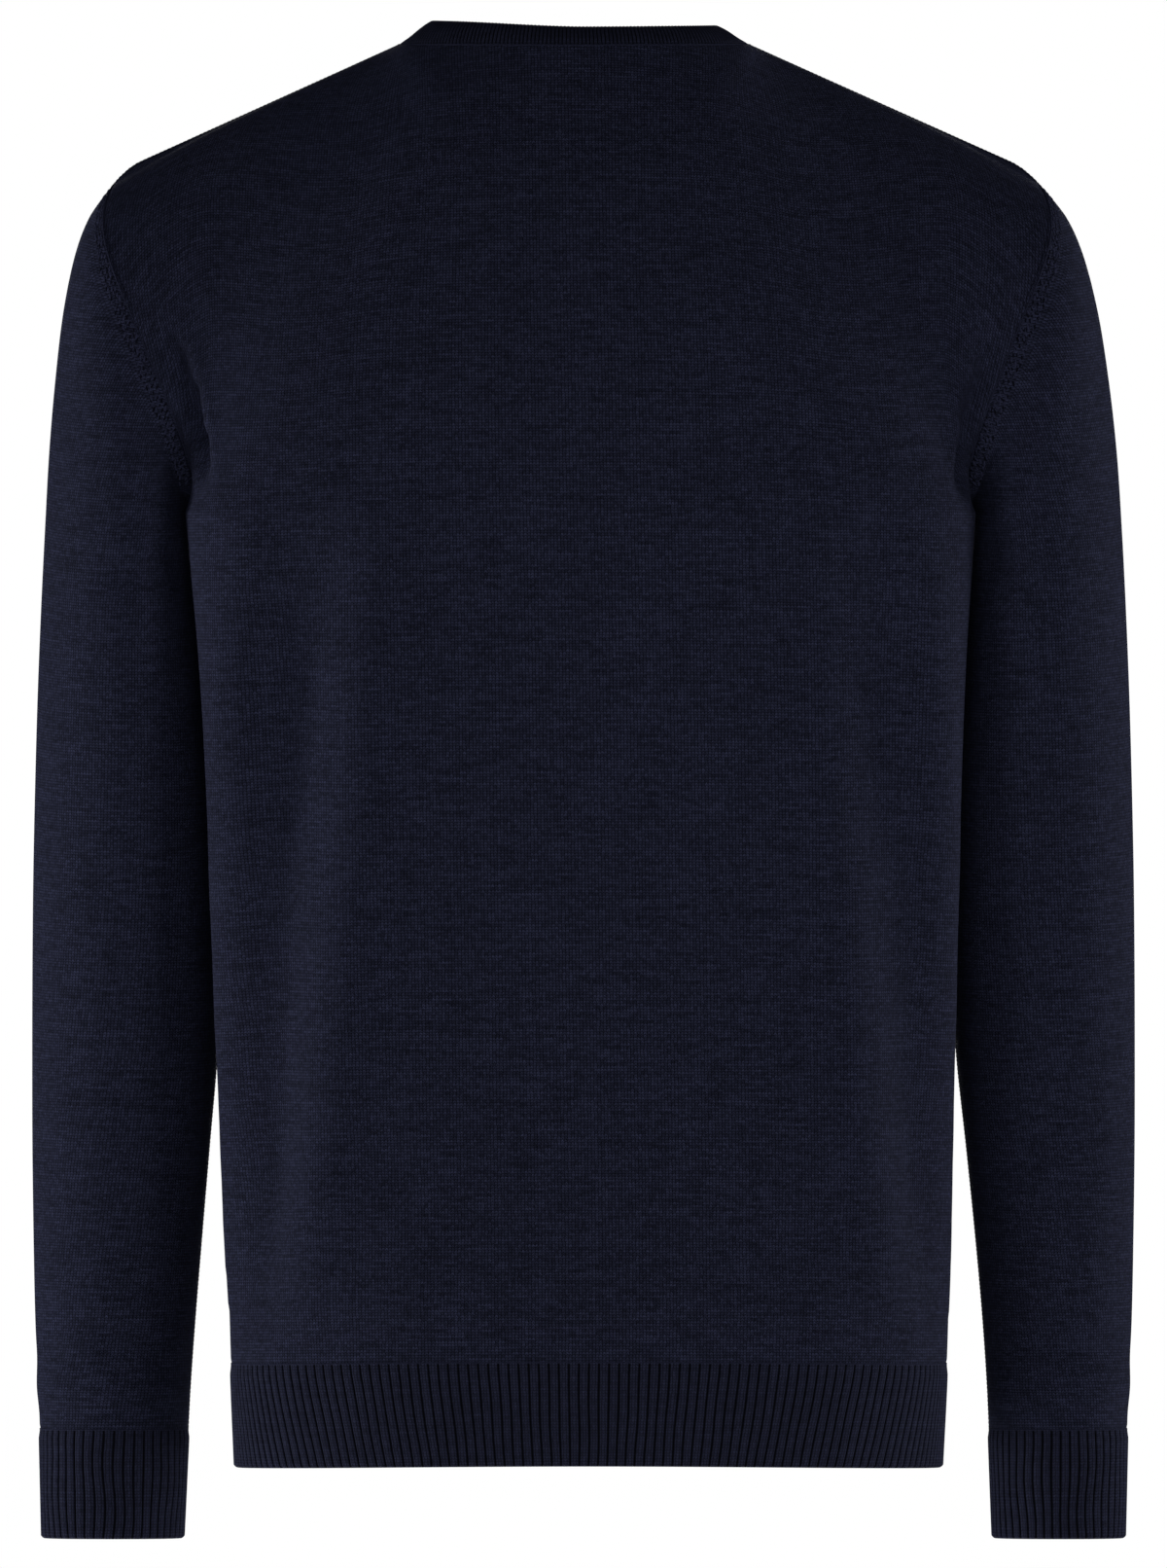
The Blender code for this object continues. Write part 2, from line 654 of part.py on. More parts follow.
def main():
    clear_scene()
    collection = bpy.data.collections.new(GARMENT)
    bpy.context.scene.collection.children.link(collection)
    hold = bpy.data.objects.new("wearer_hold", None)
    hold.empty_display_size = 0.05
    collection.objects.link(hold)

    back = panel_grid(BACK, BACK_NECK_STEPS)
    front = panel_grid(FRONT, FRONT_NECK_STEPS)
    left_sleeve = sleeve_grid()
    right_sleeve = mirrored(left_sleeve)
    neckband = neckband_grid()
    turned = right_sleeve[:, ::-1]
    normals = shared_normals(
        [(back, False), (front, False), (left_sleeve[::-1], True), (turned[::-1], True), (neckband, True)]
    )
    back_normals, front_normals, left_normals, right_normals, band_normals = normals
    neckband[1] += band_normals[1] * BAND_ROLL

    add_wall("back_panel", pressed(back, back_normals, BACK), back_normals, False)
    add_wall("front_panel", pressed(front, front_normals, FRONT), front_normals, False)
    add_wall("left_sleeve", left_sleeve[::-1], left_normals, True)
    add_wall("right_sleeve", turned[::-1], right_normals, True)
    add_wall("neckband", neckband, band_normals, True, free_edges=("last_row",))

    seam = HEM_SEAM - SEAM_GAP / 2
    bands = (("back_hem_rib", BACK, BACK_HEM_RIBS), ("front_hem_rib", FRONT, FRONT_HEM_RIBS))
    for name, side, ribs in bands:
        lines = (hem_line(side, seam, 0.0), hem_line(side, HEM_EDGE, RIB_LEAN))
        add_ribs(name, lines, False, ribs)
    cuff = (cuff_line(CUFF_SEAM_RING, SEAM_GAP / 2), cuff_line(CUFF_EDGE_RING))
    add_ribs("left_cuff_rib", cuff, True, CUFF_RIBS)
    add_ribs("right_cuff_rib", tuple(mirrored_line(line) for line in cuff), True, CUFF_RIBS, flip=True)


main()
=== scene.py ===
"""Looks of a navy V-neck sweater in fine knitted wool, hollow and filled out as it is worn.

Metres, +Z up. The front faces -Y and the wearer's left is +X. A piece that stands for a solid
repeats its surface from the same tables of sizes, at a finer step, with creases and ribs added.
The seams' yarn, the fashioning marks and the painted shade in the holes between the marks are
pieces of their own.
"""

import math
from functools import lru_cache

import bpy
import numpy as np
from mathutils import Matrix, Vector


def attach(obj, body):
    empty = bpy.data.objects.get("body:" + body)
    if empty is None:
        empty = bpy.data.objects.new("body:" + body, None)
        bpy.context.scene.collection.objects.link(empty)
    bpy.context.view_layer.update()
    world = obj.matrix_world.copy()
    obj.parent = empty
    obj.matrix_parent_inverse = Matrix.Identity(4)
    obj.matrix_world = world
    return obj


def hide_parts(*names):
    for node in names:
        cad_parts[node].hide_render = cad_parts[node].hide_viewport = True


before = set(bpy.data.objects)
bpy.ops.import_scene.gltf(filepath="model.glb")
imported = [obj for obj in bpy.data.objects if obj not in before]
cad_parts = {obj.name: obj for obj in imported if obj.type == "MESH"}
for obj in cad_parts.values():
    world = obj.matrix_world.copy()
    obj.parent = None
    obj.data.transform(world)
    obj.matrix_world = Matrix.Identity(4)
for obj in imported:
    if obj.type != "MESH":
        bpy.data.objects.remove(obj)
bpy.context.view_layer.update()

BACK = 1
FRONT = -1

# ---------------- sizes that the solids have too
WALL = 0.0016
BACK_HEM_RIBS = 104
FRONT_HEM_RIBS = 92
CUFF_RIBS = 48
RIB_CREST_WALL = 0.0023
RIB_FURROW_WALL = 0.0011
RIB_LEAN = 0.07
RIB_LEAN_POWER = 6
HEM_EDGE = -0.6820
HEM_SEAM = -0.6325
UNDERARM = -0.2260
SIDE_SEAM_Y = -0.0120
BACK_HEM_LIFT = 0.0020
TORSO_COLUMNS = ("height", "half_width", "back", "front", "widest", "back_power", "front_power")
TORSO = (
    (-0.6820, 0.1690, 0.1105, -0.1075, -0.002, 2.80, 2.70),
    (-0.6325, 0.1712, 0.1125, -0.1110, 0.002, 2.75, 2.60),
    (-0.5950, 0.1722, 0.1110, -0.1125, 0.006, 2.70, 2.50),
    (-0.5400, 0.1727, 0.1060, -0.1115, 0.013, 2.65, 2.40),
    (-0.4600, 0.1755, 0.1045, -0.1120, 0.024, 2.60, 2.30),
    (-0.3800, 0.1790, 0.1080, -0.1150, 0.034, 2.60, 2.25),
    (-0.3000, 0.1830, 0.1130, -0.1190, 0.042, 2.60, 2.20),
    (-0.2260, 0.1885, 0.1165, -0.1210, 0.046, 2.60, 2.20),
)
TURN_WEIGHT = 0.060
SHOULDER_TIP = 0.2220
SHOULDER_SLOPE = 0.45
SHOULDER_BEND_FROM = 0.2080
SHOULDER_BEND = 26.5
RIDGE_Y = -0.0040
NECK_COLUMNS = ("half_width", "side_height", "back", "back_height", "front", "v_height")
NECK_SEAM = (0.0840, -0.0015, 0.0550, -0.0025, -0.1165, -0.2050)
NECK_EDGE = (0.0665, 0.0080, 0.0375, 0.0065, -0.1090, -0.1520)
NECK_BACK_POWER = 2.2
CHEST_POWER = 1.9
V_EASE = 1.25
BAND_ROLL = 0.0012
ARCH_POWER = 1.25
BACK_NECK_ARCH = math.radians(52)
FRONT_NECK_ARCH = math.radians(8)
NECK_ARCH_POWER = 0.6
FRONT_DIP = 0.085
NECK_SHARE = 0.40
CUT_REACH = 2
WIDENING_REACH = 3
BISECTIONS = 40
SLEEVE_COLUMNS = ("outer", "outer_height", "inner", "inner_height", "middle", "half_depth")
SLEEVE = (
    (0.2220, -0.0690, 0.1831, -0.2260, -0.0080, 0.0600),
    (0.2330, -0.0828, 0.1860, -0.2264, -0.0090, 0.0605),
    (0.2410, -0.1014, 0.1862, -0.2305, -0.0095, 0.0610),
    (0.2475, -0.1290, 0.1857, -0.2385, -0.0100, 0.0610),
    (0.2520, -0.1610, 0.1847, -0.2490, -0.0110, 0.0610),
    (0.2555, -0.1960, 0.1834, -0.2630, -0.0130, 0.0605),
    (0.2578, -0.2330, 0.1818, -0.2810, -0.0165, 0.0600),
    (0.2598, -0.2720, 0.1798, -0.3040, -0.0210, 0.0590),
    (0.2615, -0.3130, 0.1775, -0.3330, -0.0270, 0.0575),
    (0.2628, -0.3560, 0.1755, -0.3660, -0.0340, 0.0555),
    (0.2638, -0.4000, 0.1745, -0.4030, -0.0415, 0.0535),
    (0.2643, -0.4440, 0.1752, -0.4440, -0.0490, 0.0512),
    (0.2645, -0.4860, 0.1772, -0.4860, -0.0560, 0.0488),
    (0.2645, -0.5270, 0.1812, -0.5270, -0.0625, 0.0463),
    (0.2641, -0.5670, 0.1850, -0.5670, -0.0685, 0.0438),
    (0.2634, -0.6070, 0.1885, -0.6070, -0.0740, 0.0412),
    (0.2622, -0.6400, 0.1909, -0.6400, -0.0785, 0.0385),
    (0.2612, -0.6650, 0.1922, -0.6650, -0.0815, 0.0362),
    (0.2600, -0.7175, 0.1945, -0.7175, -0.0865, 0.0335),
)
CUFF_SEAM_RING = 17
CUFF_EDGE_RING = 18
SLEEVE_POWER = 2.15
BACK_ARMHOLE_BOW = 0.0311
BACK_BOW_POWERS = (2.0, 2.5)
FRONT_ARMHOLE_BOW = -0.0030
UNDERARM_TILT = 0.0170
BOW_RINGS = 4
OUTLINE_STEPS = 720
OUTLINES_KEPT = 4096
MERGE_STEP = 1e-6
MERGE_OFFSET = 0.137
TINY = 1e-12
TINIEST = 1e-15

# ---------------- steps of the looks
ARMHOLE_ROWS = 72
TORSO_ROWS = 96
NECK_STEPS = {BACK: 28, FRONT: 36}
SHOULDER_STEPS = 34
SLEEVE_STEPS_PER_RING = 9
# More steps at these distances from a seam, where the cloth dips. Even steps closer than
# SEAM_CLEARANCE times the last of them are left out.
SEAM_STEPS = (0.0006, 0.0012, 0.0019, 0.0028, 0.0042)
SEAM_CLEARANCE = 1.3
# Rough lengths in metres of the runs that the steps divide
PANEL_HALF_RUN = 0.160
ARMHOLE_RUN = 0.200
SLEEVE_RUN = 0.018

# Seams: a soft valley where two pieces are linked
VALLEY_DEPTH = 0.00045
VALLEY_HALF_WIDTH = 0.0014

# The yoke is eased sideways, so that no edge runs down from the ends of the shoulders' seams
EASE_WIDTH = 0.026
EASE_RISE = 0.50
EASE_END = -0.30
EASE_FADE = 0.08
EASE_LEAST = 1e-5

# The garment hangs a little off true: it shifts sideways by height, fading out at the sleeves
LEAN_HEIGHTS = (-0.72, -0.60, -0.45, -0.30, -0.10, 0.01)
LEAN_SHIFTS = (-0.0022, -0.0026, -0.0012, 0.0004, 0.0034, 0.0046)
HELD_X = (0.205, 0.262)
HELD_HEIGHTS = (-0.05, -0.25)
HELD_AT_TOP = 0.45


# ================ surface functions
def smooth(places, values, at):
    """A smooth curve through values at rising places."""
    slopes = np.gradient(values, places)
    index = np.clip(np.searchsorted(places, at, side="right") - 1, 0, len(places) - 2)
    step = places[index + 1] - places[index]
    u = np.clip((at - places[index]) / step, 0, 1)
    start = (1 + 2 * u) * (1 - u) ** 2 * values[index] + u * (1 - u) ** 2 * step * slopes[index]
    end = u * u * (3 - 2 * u) * values[index + 1] + u * u * (u - 1) * step * slopes[index + 1]
    return start + end


def sizes_at(names, rows, places, at):
    """The value of each named column of a table at one of its places or between two."""
    return {name: smooth(places, values, at) for name, values in zip(names, np.array(rows).T)}


def smoothstep(low, high, value):
    u = np.clip((value - low) / (high - low), 0, 1)
    return u * u * (3 - 2 * u)


def signed_power(value, power):
    return np.sign(value) * np.abs(value) ** power


@lru_cache(maxsize=OUTLINES_KEPT)
def torso_outline(height, side):
    """The torso at one height, as a dense line from side seam to side seam round one side."""
    size = sizes_at(TORSO_COLUMNS, TORSO, np.array(TORSO)[:, 0], height)
    front_depth = size["widest"] - size["front"]
    back_depth = size["back"] - size["widest"]
    seam_share = (size["widest"] - SIDE_SEAM_Y) / front_depth
    seam_angle = math.asin(seam_share ** (size["front_power"] / 2))
    if side == BACK:
        angle = np.linspace(-seam_angle, math.pi + seam_angle, OUTLINE_STEPS + 1)
    else:
        angle = np.linspace(math.pi + seam_angle, 2 * math.pi - seam_angle, OUTLINE_STEPS + 1)
    behind = np.sin(angle) >= 0
    power = np.where(behind, size["back_power"], size["front_power"])
    depth = np.where(behind, back_depth, front_depth)
    x = size["half_width"] * signed_power(np.cos(angle), 2 / power)
    y = size["widest"] + depth * signed_power(np.sin(angle), 2 / power)
    return np.stack([x, y, np.full_like(x, height)], axis=1)


@lru_cache(maxsize=OUTLINES_KEPT)
def torso_travel(height, side):
    """How far along the outline each of its points is, counting its turns as longer."""
    steps = np.diff(torso_outline(height, side), axis=0)
    lengths = np.linalg.norm(steps, axis=1)
    turns = np.linalg.norm(np.diff(steps / lengths[:, None], axis=0), axis=1)
    weights = lengths + TURN_WEIGHT * np.concatenate([[0], turns])
    return np.concatenate([[0], np.cumsum(weights)])


def travel(points, axis=0):
    """How far each point of a line or a grid is from the first one along an axis."""
    steps = np.linalg.norm(np.diff(points, axis=axis), axis=-1)
    zero = np.zeros_like(np.take(steps, [0], axis=axis))
    return np.concatenate([zero, np.cumsum(steps, axis=axis)], axis=axis)


def taken(line, travelled, wanted):
    """Points that lie wanted distances along a dense line."""
    return np.stack([np.interp(wanted, travelled, values) for values in line.T], axis=-1)


def along(line, shares):
    """Points at shares of a dense line's length."""
    travelled = travel(line)
    return taken(line, travelled, np.asarray(shares) * travelled[-1])


def shoulder_point(share):
    half_width = NECK_SEAM[NECK_COLUMNS.index("half_width")]
    x = half_width + (SHOULDER_TIP - half_width) * share
    height = NECK_SEAM[NECK_COLUMNS.index("side_height")] - SHOULDER_SLOPE * (x - half_width)
    height -= SHOULDER_BEND * max(0.0, x - SHOULDER_BEND_FROM) ** 2
    return np.array([x, RIDGE_Y, height])


def neck_point(line, side, share):
    """A point of a neck line's left half, from the shoulder (0) to the middle (1) of one side."""
    size = dict(zip(NECK_COLUMNS, line))
    if side == BACK:
        turn = share * math.pi / 2
        x = size["half_width"] * math.cos(turn) ** (2 / NECK_BACK_POWER)
        y = RIDGE_Y + (size["back"] - RIDGE_Y) * math.sin(turn) ** (2 / NECK_BACK_POWER)
        height = size["side_height"] + (size["back_height"] - size["side_height"]) * share
        return np.array([x, y, height])
    fall = share**V_EASE
    x = size["half_width"] * (1 - fall)
    y = RIDGE_Y + (size["front"] - RIDGE_Y) * (1 - (1 - share) ** CHEST_POWER)
    height = size["side_height"] + (size["v_height"] - size["side_height"]) * fall
    return np.array([x, y, height])


def sleeve_ring(place, angles):
    """Points of the left sleeve's ring at a place in the table. Angle 0 is its outer side."""
    size = sizes_at(SLEEVE_COLUMNS, SLEEVE, np.arange(len(SLEEVE), dtype=float), place)
    outer = np.array([size["outer"], size["middle"], size["outer_height"]])
    inner = np.array([size["inner"], size["middle"], size["inner_height"]])
    ends_fade = max(0.0, 1 - place)
    outer = outer + (shoulder_point(1) - outer) * ends_fade
    inner = inner + (torso_outline(UNDERARM, BACK)[0] - inner) * ends_fade
    across = signed_power(np.cos(angles), 2 / SLEEVE_POWER)[:, None]
    deep = signed_power(np.sin(angles), 2 / SLEEVE_POWER)
    ring = (outer + inner) / 2 + across * (outer - inner) / 2
    ring[:, 1] += deep * size["half_depth"]
    fade = max(0.0, 1 - place / BOW_RINGS)
    deep_share = np.abs(np.sin(angles))
    high_share = (1 + np.cos(angles)) / 2
    back_bow = BACK_ARMHOLE_BOW * deep_share ** BACK_BOW_POWERS[0] * high_share ** BACK_BOW_POWERS[1]
    front_bow = FRONT_ARMHOLE_BOW * deep_share * high_share**2
    front_bow -= UNDERARM_TILT * deep_share * (1 - high_share) ** 3
    ring[:, 0] += fade * np.where(np.sin(angles) > 0, back_bow, front_bow)
    return ring


def mirrored(points):
    return points * np.array([-1, 1, 1])


def neck_arch(side, place):
    if place >= 1:
        return math.pi / 2
    if side == BACK:
        return BACK_NECK_ARCH + (math.pi / 2 - BACK_NECK_ARCH) * math.sin(place * math.pi / 2)
    fall = (1 - place) ** V_EASE
    return FRONT_NECK_ARCH + (math.pi / 2 - FRONT_NECK_ARCH) * (1 - fall) ** NECK_ARCH_POWER


def arched(base, top, angle, share):
    """A point of the arch from a column's base up to its top."""
    turn = angle * share
    rise = math.sin(turn) / math.sin(angle)
    lean = max(0.0, (math.cos(turn) - math.cos(angle)) / (1 - math.cos(angle)))
    lean **= 1 + (ARCH_POWER - 1) * math.sin(angle)
    point = base + (top - base) * rise
    point[1] = top[1] + (base[1] - top[1]) * lean
    return point


def base_share(place):
    if place <= 1:
        return NECK_SHARE * place
    return NECK_SHARE + (1 - NECK_SHARE) * (place - 1)


def base_height(side, share):
    dip = FRONT_DIP if side == FRONT else 0.0
    return UNDERARM - dip * math.cos(share * math.pi / 2) ** 2


def hem_height(side, share):
    lift = BACK_HEM_LIFT if side == BACK else 0.0
    return HEM_SEAM + lift * math.cos(share * math.pi / 2) ** 2


def torso_point(side, share, height):
    height = round(float(height), 5)
    outline = torso_outline(height, side)
    travelled = torso_travel(height, side)
    from_left = (1 - share) / 2 if side == BACK else (1 + share) / 2
    return taken(outline, travelled, from_left * travelled[-1])


@lru_cache(maxsize=None)
def yoke_ends(side, share):
    base = torso_point(side, share, base_height(side, share))
    if share <= NECK_SHARE:
        place = share / NECK_SHARE
        top = neck_point(NECK_SEAM, side, 1 - place)
    else:
        place = 1 + (share - NECK_SHARE) / (1 - NECK_SHARE)
        top = shoulder_point(place - 1)
    return base, top, neck_arch(side, place)


def share_at_height(column_ends, height):
    base, top, angle = column_ends
    rise = min(1.0, max(0.0, (height - base[2]) / (top[2] - base[2])))
    return math.asin(rise * math.sin(angle)) / angle


def armhole_cut(side, even):
    """Where the armhole cuts the yoke on one row: share of the outline, share up the arch, and
    how far the yoke has to widen there to meet the armhole."""
    edge = sleeve_ring(0.0, np.array([side * math.pi * (1 - even)]))[0]
    low, high = NECK_SHARE, 1.0
    for _ in range(BISECTIONS):
        share = (low + high) / 2
        ends = yoke_ends(side, round(share, 7))
        reach = arched(*ends, share_at_height(ends, edge[2]))[1]
        if side * (reach - edge[1]) > 0:
            low = share
        else:
            high = share
    if even == 1.0:
        share = 1.0
    ends = yoke_ends(side, share)
    up = share_at_height(ends, edge[2])
    return share, up, edge - arched(*ends, up)


# ================ fine steps
def refined(low, high, steps, run, near_low=False, near_high=False):
    """Even steps from low to high, with the seam steps of a run of that many metres added."""
    values = set(np.linspace(low, high, steps + 1).round(9))
    first = min(values)
    last = max(values)
    added = [distance / run * (high - low) for distance in SEAM_STEPS]
    if near_low:
        values = {v for v in values if v == first or v > low + added[-1] * SEAM_CLEARANCE}
        values |= {round(low + a, 9) for a in added}
    if near_high:
        values = {v for v in values if v == last or v < high - added[-1] * SEAM_CLEARANCE}
        values |= {round(high - a, 9) for a in added}
    return sorted(values)


NECK_PLACES = {side: list(np.linspace(0, 1, steps + 1)) for side, steps in NECK_STEPS.items()}
SHOULDER_PLACES = refined(1, 2, SHOULDER_STEPS, PANEL_HALF_RUN, near_high=True)
YOKE_EVENS = refined(0, 1, ARMHOLE_ROWS, ARMHOLE_RUN, near_low=True, near_high=True)[1:]
TORSO_EVENS = refined(0, 1, TORSO_ROWS, UNDERARM - HEM_SEAM, near_low=True)
sleeve_steps = CUFF_SEAM_RING * SLEEVE_STEPS_PER_RING
sleeve_run = SLEEVE_RUN * CUFF_SEAM_RING
SLEEVE_PLACES = refined(0, CUFF_SEAM_RING, sleeve_steps, sleeve_run, near_low=True, near_high=True)


def panel_grid(side):
    """A whole panel as rows from the hem seam up, by columns across."""
    cuts = [armhole_cut(side, even) for even in YOKE_EVENS]
    columns = []
    for place in NECK_PLACES[side] + SHOULDER_PLACES[1:]:
        share = base_share(place)
        low = hem_height(side, share)
        high = base_height(side, share)
        points = [torso_point(side, share, low + (high - low) * even) for even in TORSO_EVENS]
        for even, (cut_share, cut_up, widening) in zip(YOKE_EVENS, cuts):
            moved = share * (1 - (1 - cut_share) * share**CUT_REACH)
            up = even + (cut_up - even) * share**CUT_REACH
            point = arched(*yoke_ends(side, moved), up)
            points.append(point + widening * share**WIDENING_REACH)
        columns.append(np.array(points))
    other = [mirrored(points) for points in columns[1:]]
    columns = columns[::-1] + other if side == BACK else other[::-1] + columns
    return np.stack(columns, axis=1)


def sleeve_grid():
    """The left sleeve as rings from the cuff seam up to the armhole, so that faces turn outwards."""
    back = [math.pi * (1 - even) for even in YOKE_EVENS[::-1]]
    front = [-angle for angle in back[1:][::-1]]
    angles = np.array(back + [math.pi] + front)
    return np.stack([sleeve_ring(float(place), angles) for place in SLEEVE_PLACES[::-1]])


def grid_faces(rows, columns, closed):
    """Corner numbers of a grid's quads, rows first."""
    last = columns if closed else columns - 1
    row, col = np.meshgrid(np.arange(rows - 1), np.arange(last), indexing="ij")
    after = (col + 1) % columns
    quads = np.stack([row * columns + col, row * columns + after, (row + 1) * columns + after,
                      (row + 1) * columns + col], axis=-1)
    return quads.reshape(-1, 4)


def shared_normals(grids):
    """The normals of the whole surface at each grid's points, alike where grids meet."""
    points = np.concatenate([grid.reshape(-1, 3) for grid, _ in grids])
    keys = np.floor(points / MERGE_STEP + MERGE_OFFSET).astype(np.int64)
    _, index = np.unique(keys, axis=0, return_inverse=True)
    index = index.reshape(-1)
    sums = np.zeros((index.max() + 1, 3))
    start = 0
    for grid, closed in grids:
        quads = grid_faces(*grid.shape[:2], closed) + start
        for corner in range(4):
            here = points[quads[:, corner]]
            after = points[quads[:, (corner + 1) % 4]] - here
            before = points[quads[:, corner - 1]] - here
            normal = np.cross(after, before)
            sine = np.maximum(np.linalg.norm(normal, axis=1), TINIEST)
            angle = np.arctan2(sine, (after * before).sum(axis=1))
            np.add.at(sums, index[quads[:, corner]], normal * (angle / sine)[:, None])
        start += grid.shape[0] * grid.shape[1]
    sums /= np.maximum(np.linalg.norm(sums, axis=1), TINIEST)[:, None]
    result, start = [], 0
    for grid, _ in grids:
        count = grid.shape[0] * grid.shape[1]
        result.append(sums[index[start : start + count]].reshape(grid.shape))
        start += count
    return result


def eased(grid):
    """The grid, evened out along its rows: not at its edges, and not below the yoke."""
    travelled = travel(grid, 1)
    up = travel(grid, 0)
    result = grid.copy()
    for row in range(1, len(grid) - 1):
        place = travelled[row]
        side_room = np.minimum(place, place[-1] - place)
        top_room = up[-1] - up[row]
        fade = smoothstep(EASE_END, EASE_END + EASE_FADE, grid[row, :, 2])
        width = np.minimum(np.minimum(side_room, top_room) * EASE_RISE, EASE_WIDTH) * fade
        width = np.maximum(width, EASE_LEAST)
        share = np.gradient(place)
        weights = np.exp(-0.5 * ((place[:, None] - place[None]) / width[:, None]) ** 2) * share[None]
        weights /= weights.sum(axis=1)[:, None]
        once = weights @ grid[row]
        result[row] = 2 * once - weights @ once
        result[row, [0, -1]] = grid[row, [0, -1]]
    return result


# ================ the drape
# Creases: soft troughs (height below 0) and ridges (above 0) along a line through three places.
# A row has the surface, the half width and height in metres, and the places: x and z three times
# on the back and front, and on a sleeve degrees round the ring and ring number three times, where
# 0 degrees is the outer side and 90 the back. The first two rows stand in for the light bands
# down the back's sides: their depth follows those bands' brightness, not a measured form.
CREASES = (
    ("back", 0.021, -0.0125, 0.128, -0.19, 0.149, -0.43, 0.163, -0.65),
    ("back", 0.019, -0.008, -0.138, -0.19, -0.153, -0.42, -0.166, -0.65),
    ("back", 0.006, -0.007, 0.205, -0.132, 0.186, -0.172, 0.177, -0.218),
    ("back", 0.006, -0.0055, -0.207, -0.14, -0.188, -0.178, -0.179, -0.224),
    ("back", 0.017, -0.0016, 0.165, -0.238, 0.13, -0.214, 0.088, -0.196),
    ("back", 0.02, -0.0013, -0.168, -0.244, -0.128, -0.226, -0.096, -0.186),
    ("back", 0.016, -0.0011, 0.04, -0.56, 0.09, -0.545, 0.138, -0.515),
    ("back", 0.019, -0.0012, -0.03, -0.598, -0.086, -0.58, -0.142, -0.588),
    ("back", 0.018, 0.0022, -0.168, -0.604, 0.0, -0.6, 0.168, -0.604),
    ("back", 0.015, -0.001, -0.06, -0.03, 0.0, -0.04, 0.06, -0.03),
    ("front", 0.015, -0.003, 0.158, -0.245, 0.122, -0.216, 0.086, -0.158),
    ("front", 0.016, -0.0026, -0.16, -0.25, -0.118, -0.208, -0.09, -0.15),
    ("front", 0.018, -0.002, 0.155, -0.33, 0.112, -0.3, 0.07, -0.282),
    ("front", 0.017, -0.0024, -0.15, -0.345, -0.108, -0.308, -0.06, -0.3),
    ("front", 0.014, 0.0024, 0.12, -0.3, 0.136, -0.45, 0.154, -0.62),
    ("front", 0.014, 0.0022, -0.122, -0.33, -0.136, -0.47, -0.152, -0.61),
    ("front", 0.02, -0.0014, -0.11, -0.52, -0.03, -0.545, 0.06, -0.53),
    ("front", 0.018, 0.002, -0.166, -0.604, 0.0, -0.6, 0.166, -0.604),
    ("front", 0.0075, -0.0026, 0.196, -0.14, 0.184, -0.182, 0.179, -0.232),
    ("front", 0.0075, -0.0024, -0.197, -0.146, -0.184, -0.186, -0.18, -0.234),
    ("left", 0.011, -0.0022, 150, 4.2, 112, 5.4, 70, 6.6),
    ("left", 0.012, -0.0028, -150, 4, -112, 5, -62, 6.8),
    ("left", 0.009, -0.0026, -140, 9.2, -92, 10, -38, 10.5),
    ("left", 0.008, -0.0022, -150, 10.8, -96, 11.1, -44, 11),
    ("left", 0.011, -0.0011, 58, 10.3, 96, 10, 136, 10.7),
    ("left", 0.013, -0.0012, 40, 12.6, 85, 12.2, 130, 13),
    ("left", 0.008, -0.0014, 20, 15.6, 66, 15.2, 118, 15.8),
    ("left", 0.008, -0.0016, -30, 15.4, -84, 15.7, -130, 15.2),
    ("left", 0.009, 0.0016, -20, 16.2, 80, 16.2, 170, 16.2),
    ("left", 0.009, 0.0014, -170, 16.2, -90, 16.2, -20, 16.2),
    ("right", 0.011, -0.002, 152, 4, 108, 5.6, 74, 7),
    ("right", 0.012, -0.0026, -148, 4.3, -110, 5.3, -66, 6.6),
    ("right", 0.009, -0.0024, -144, 9.6, -96, 10.2, -42, 10.2),
    ("right", 0.008, -0.0024, -146, 11.1, -100, 11.4, -50, 11.5),
    ("right", 0.012, -0.0012, 62, 9.6, 92, 9.9, 130, 9.8),
    ("right", 0.012, -0.0011, 44, 13.4, 88, 13, 132, 13.5),
    ("right", 0.008, -0.0016, 24, 15.3, 70, 15.6, 124, 15.2),
    ("right", 0.008, -0.0014, -26, 15.6, -80, 15.3, -128, 15.6),
    ("right", 0.009, 0.0015, -20, 16.2, 80, 16.2, 170, 16.2),
    ("right", 0.009, 0.0014, -170, 16.2, -90, 16.2, -20, 16.2),
)
CREASE_STEPS = 16
CREASE_END = 0.28
CREASE_SEAM_FADE = 0.010
# The cloth rises beside a trough, and sinks beside a ridge, in shares of its height and width
FLANK_HEIGHT = 0.32
FLANK_PLACE = 1.75
FLANK_WIDTH = 0.75
HEM_FADE = 0.024
CUFF_FADE = 0.010
SLEEVE_SEAM_SHARE = 0.7


def crease_path(surface, places, grid):
    """A crease's line in space, on the surface that it belongs to."""
    at = np.linspace(0, 2, CREASE_STEPS)
    first, second = (smooth(np.arange(3.0), values, at) for values in np.reshape(places, (3, 2)).T)
    if surface in ("back", "front"):
        flat = grid[:, :, [0, 2]].reshape(-1, 2)
        nearest = [np.argmin(((flat - place) ** 2).sum(axis=1)) for place in zip(first, second)]
        return grid.reshape(-1, 3)[nearest]
    path = np.array([sleeve_ring(b, np.array([math.radians(a)]))[0] for a, b in zip(first, second)])
    return path if surface == "left" else mirrored(path)


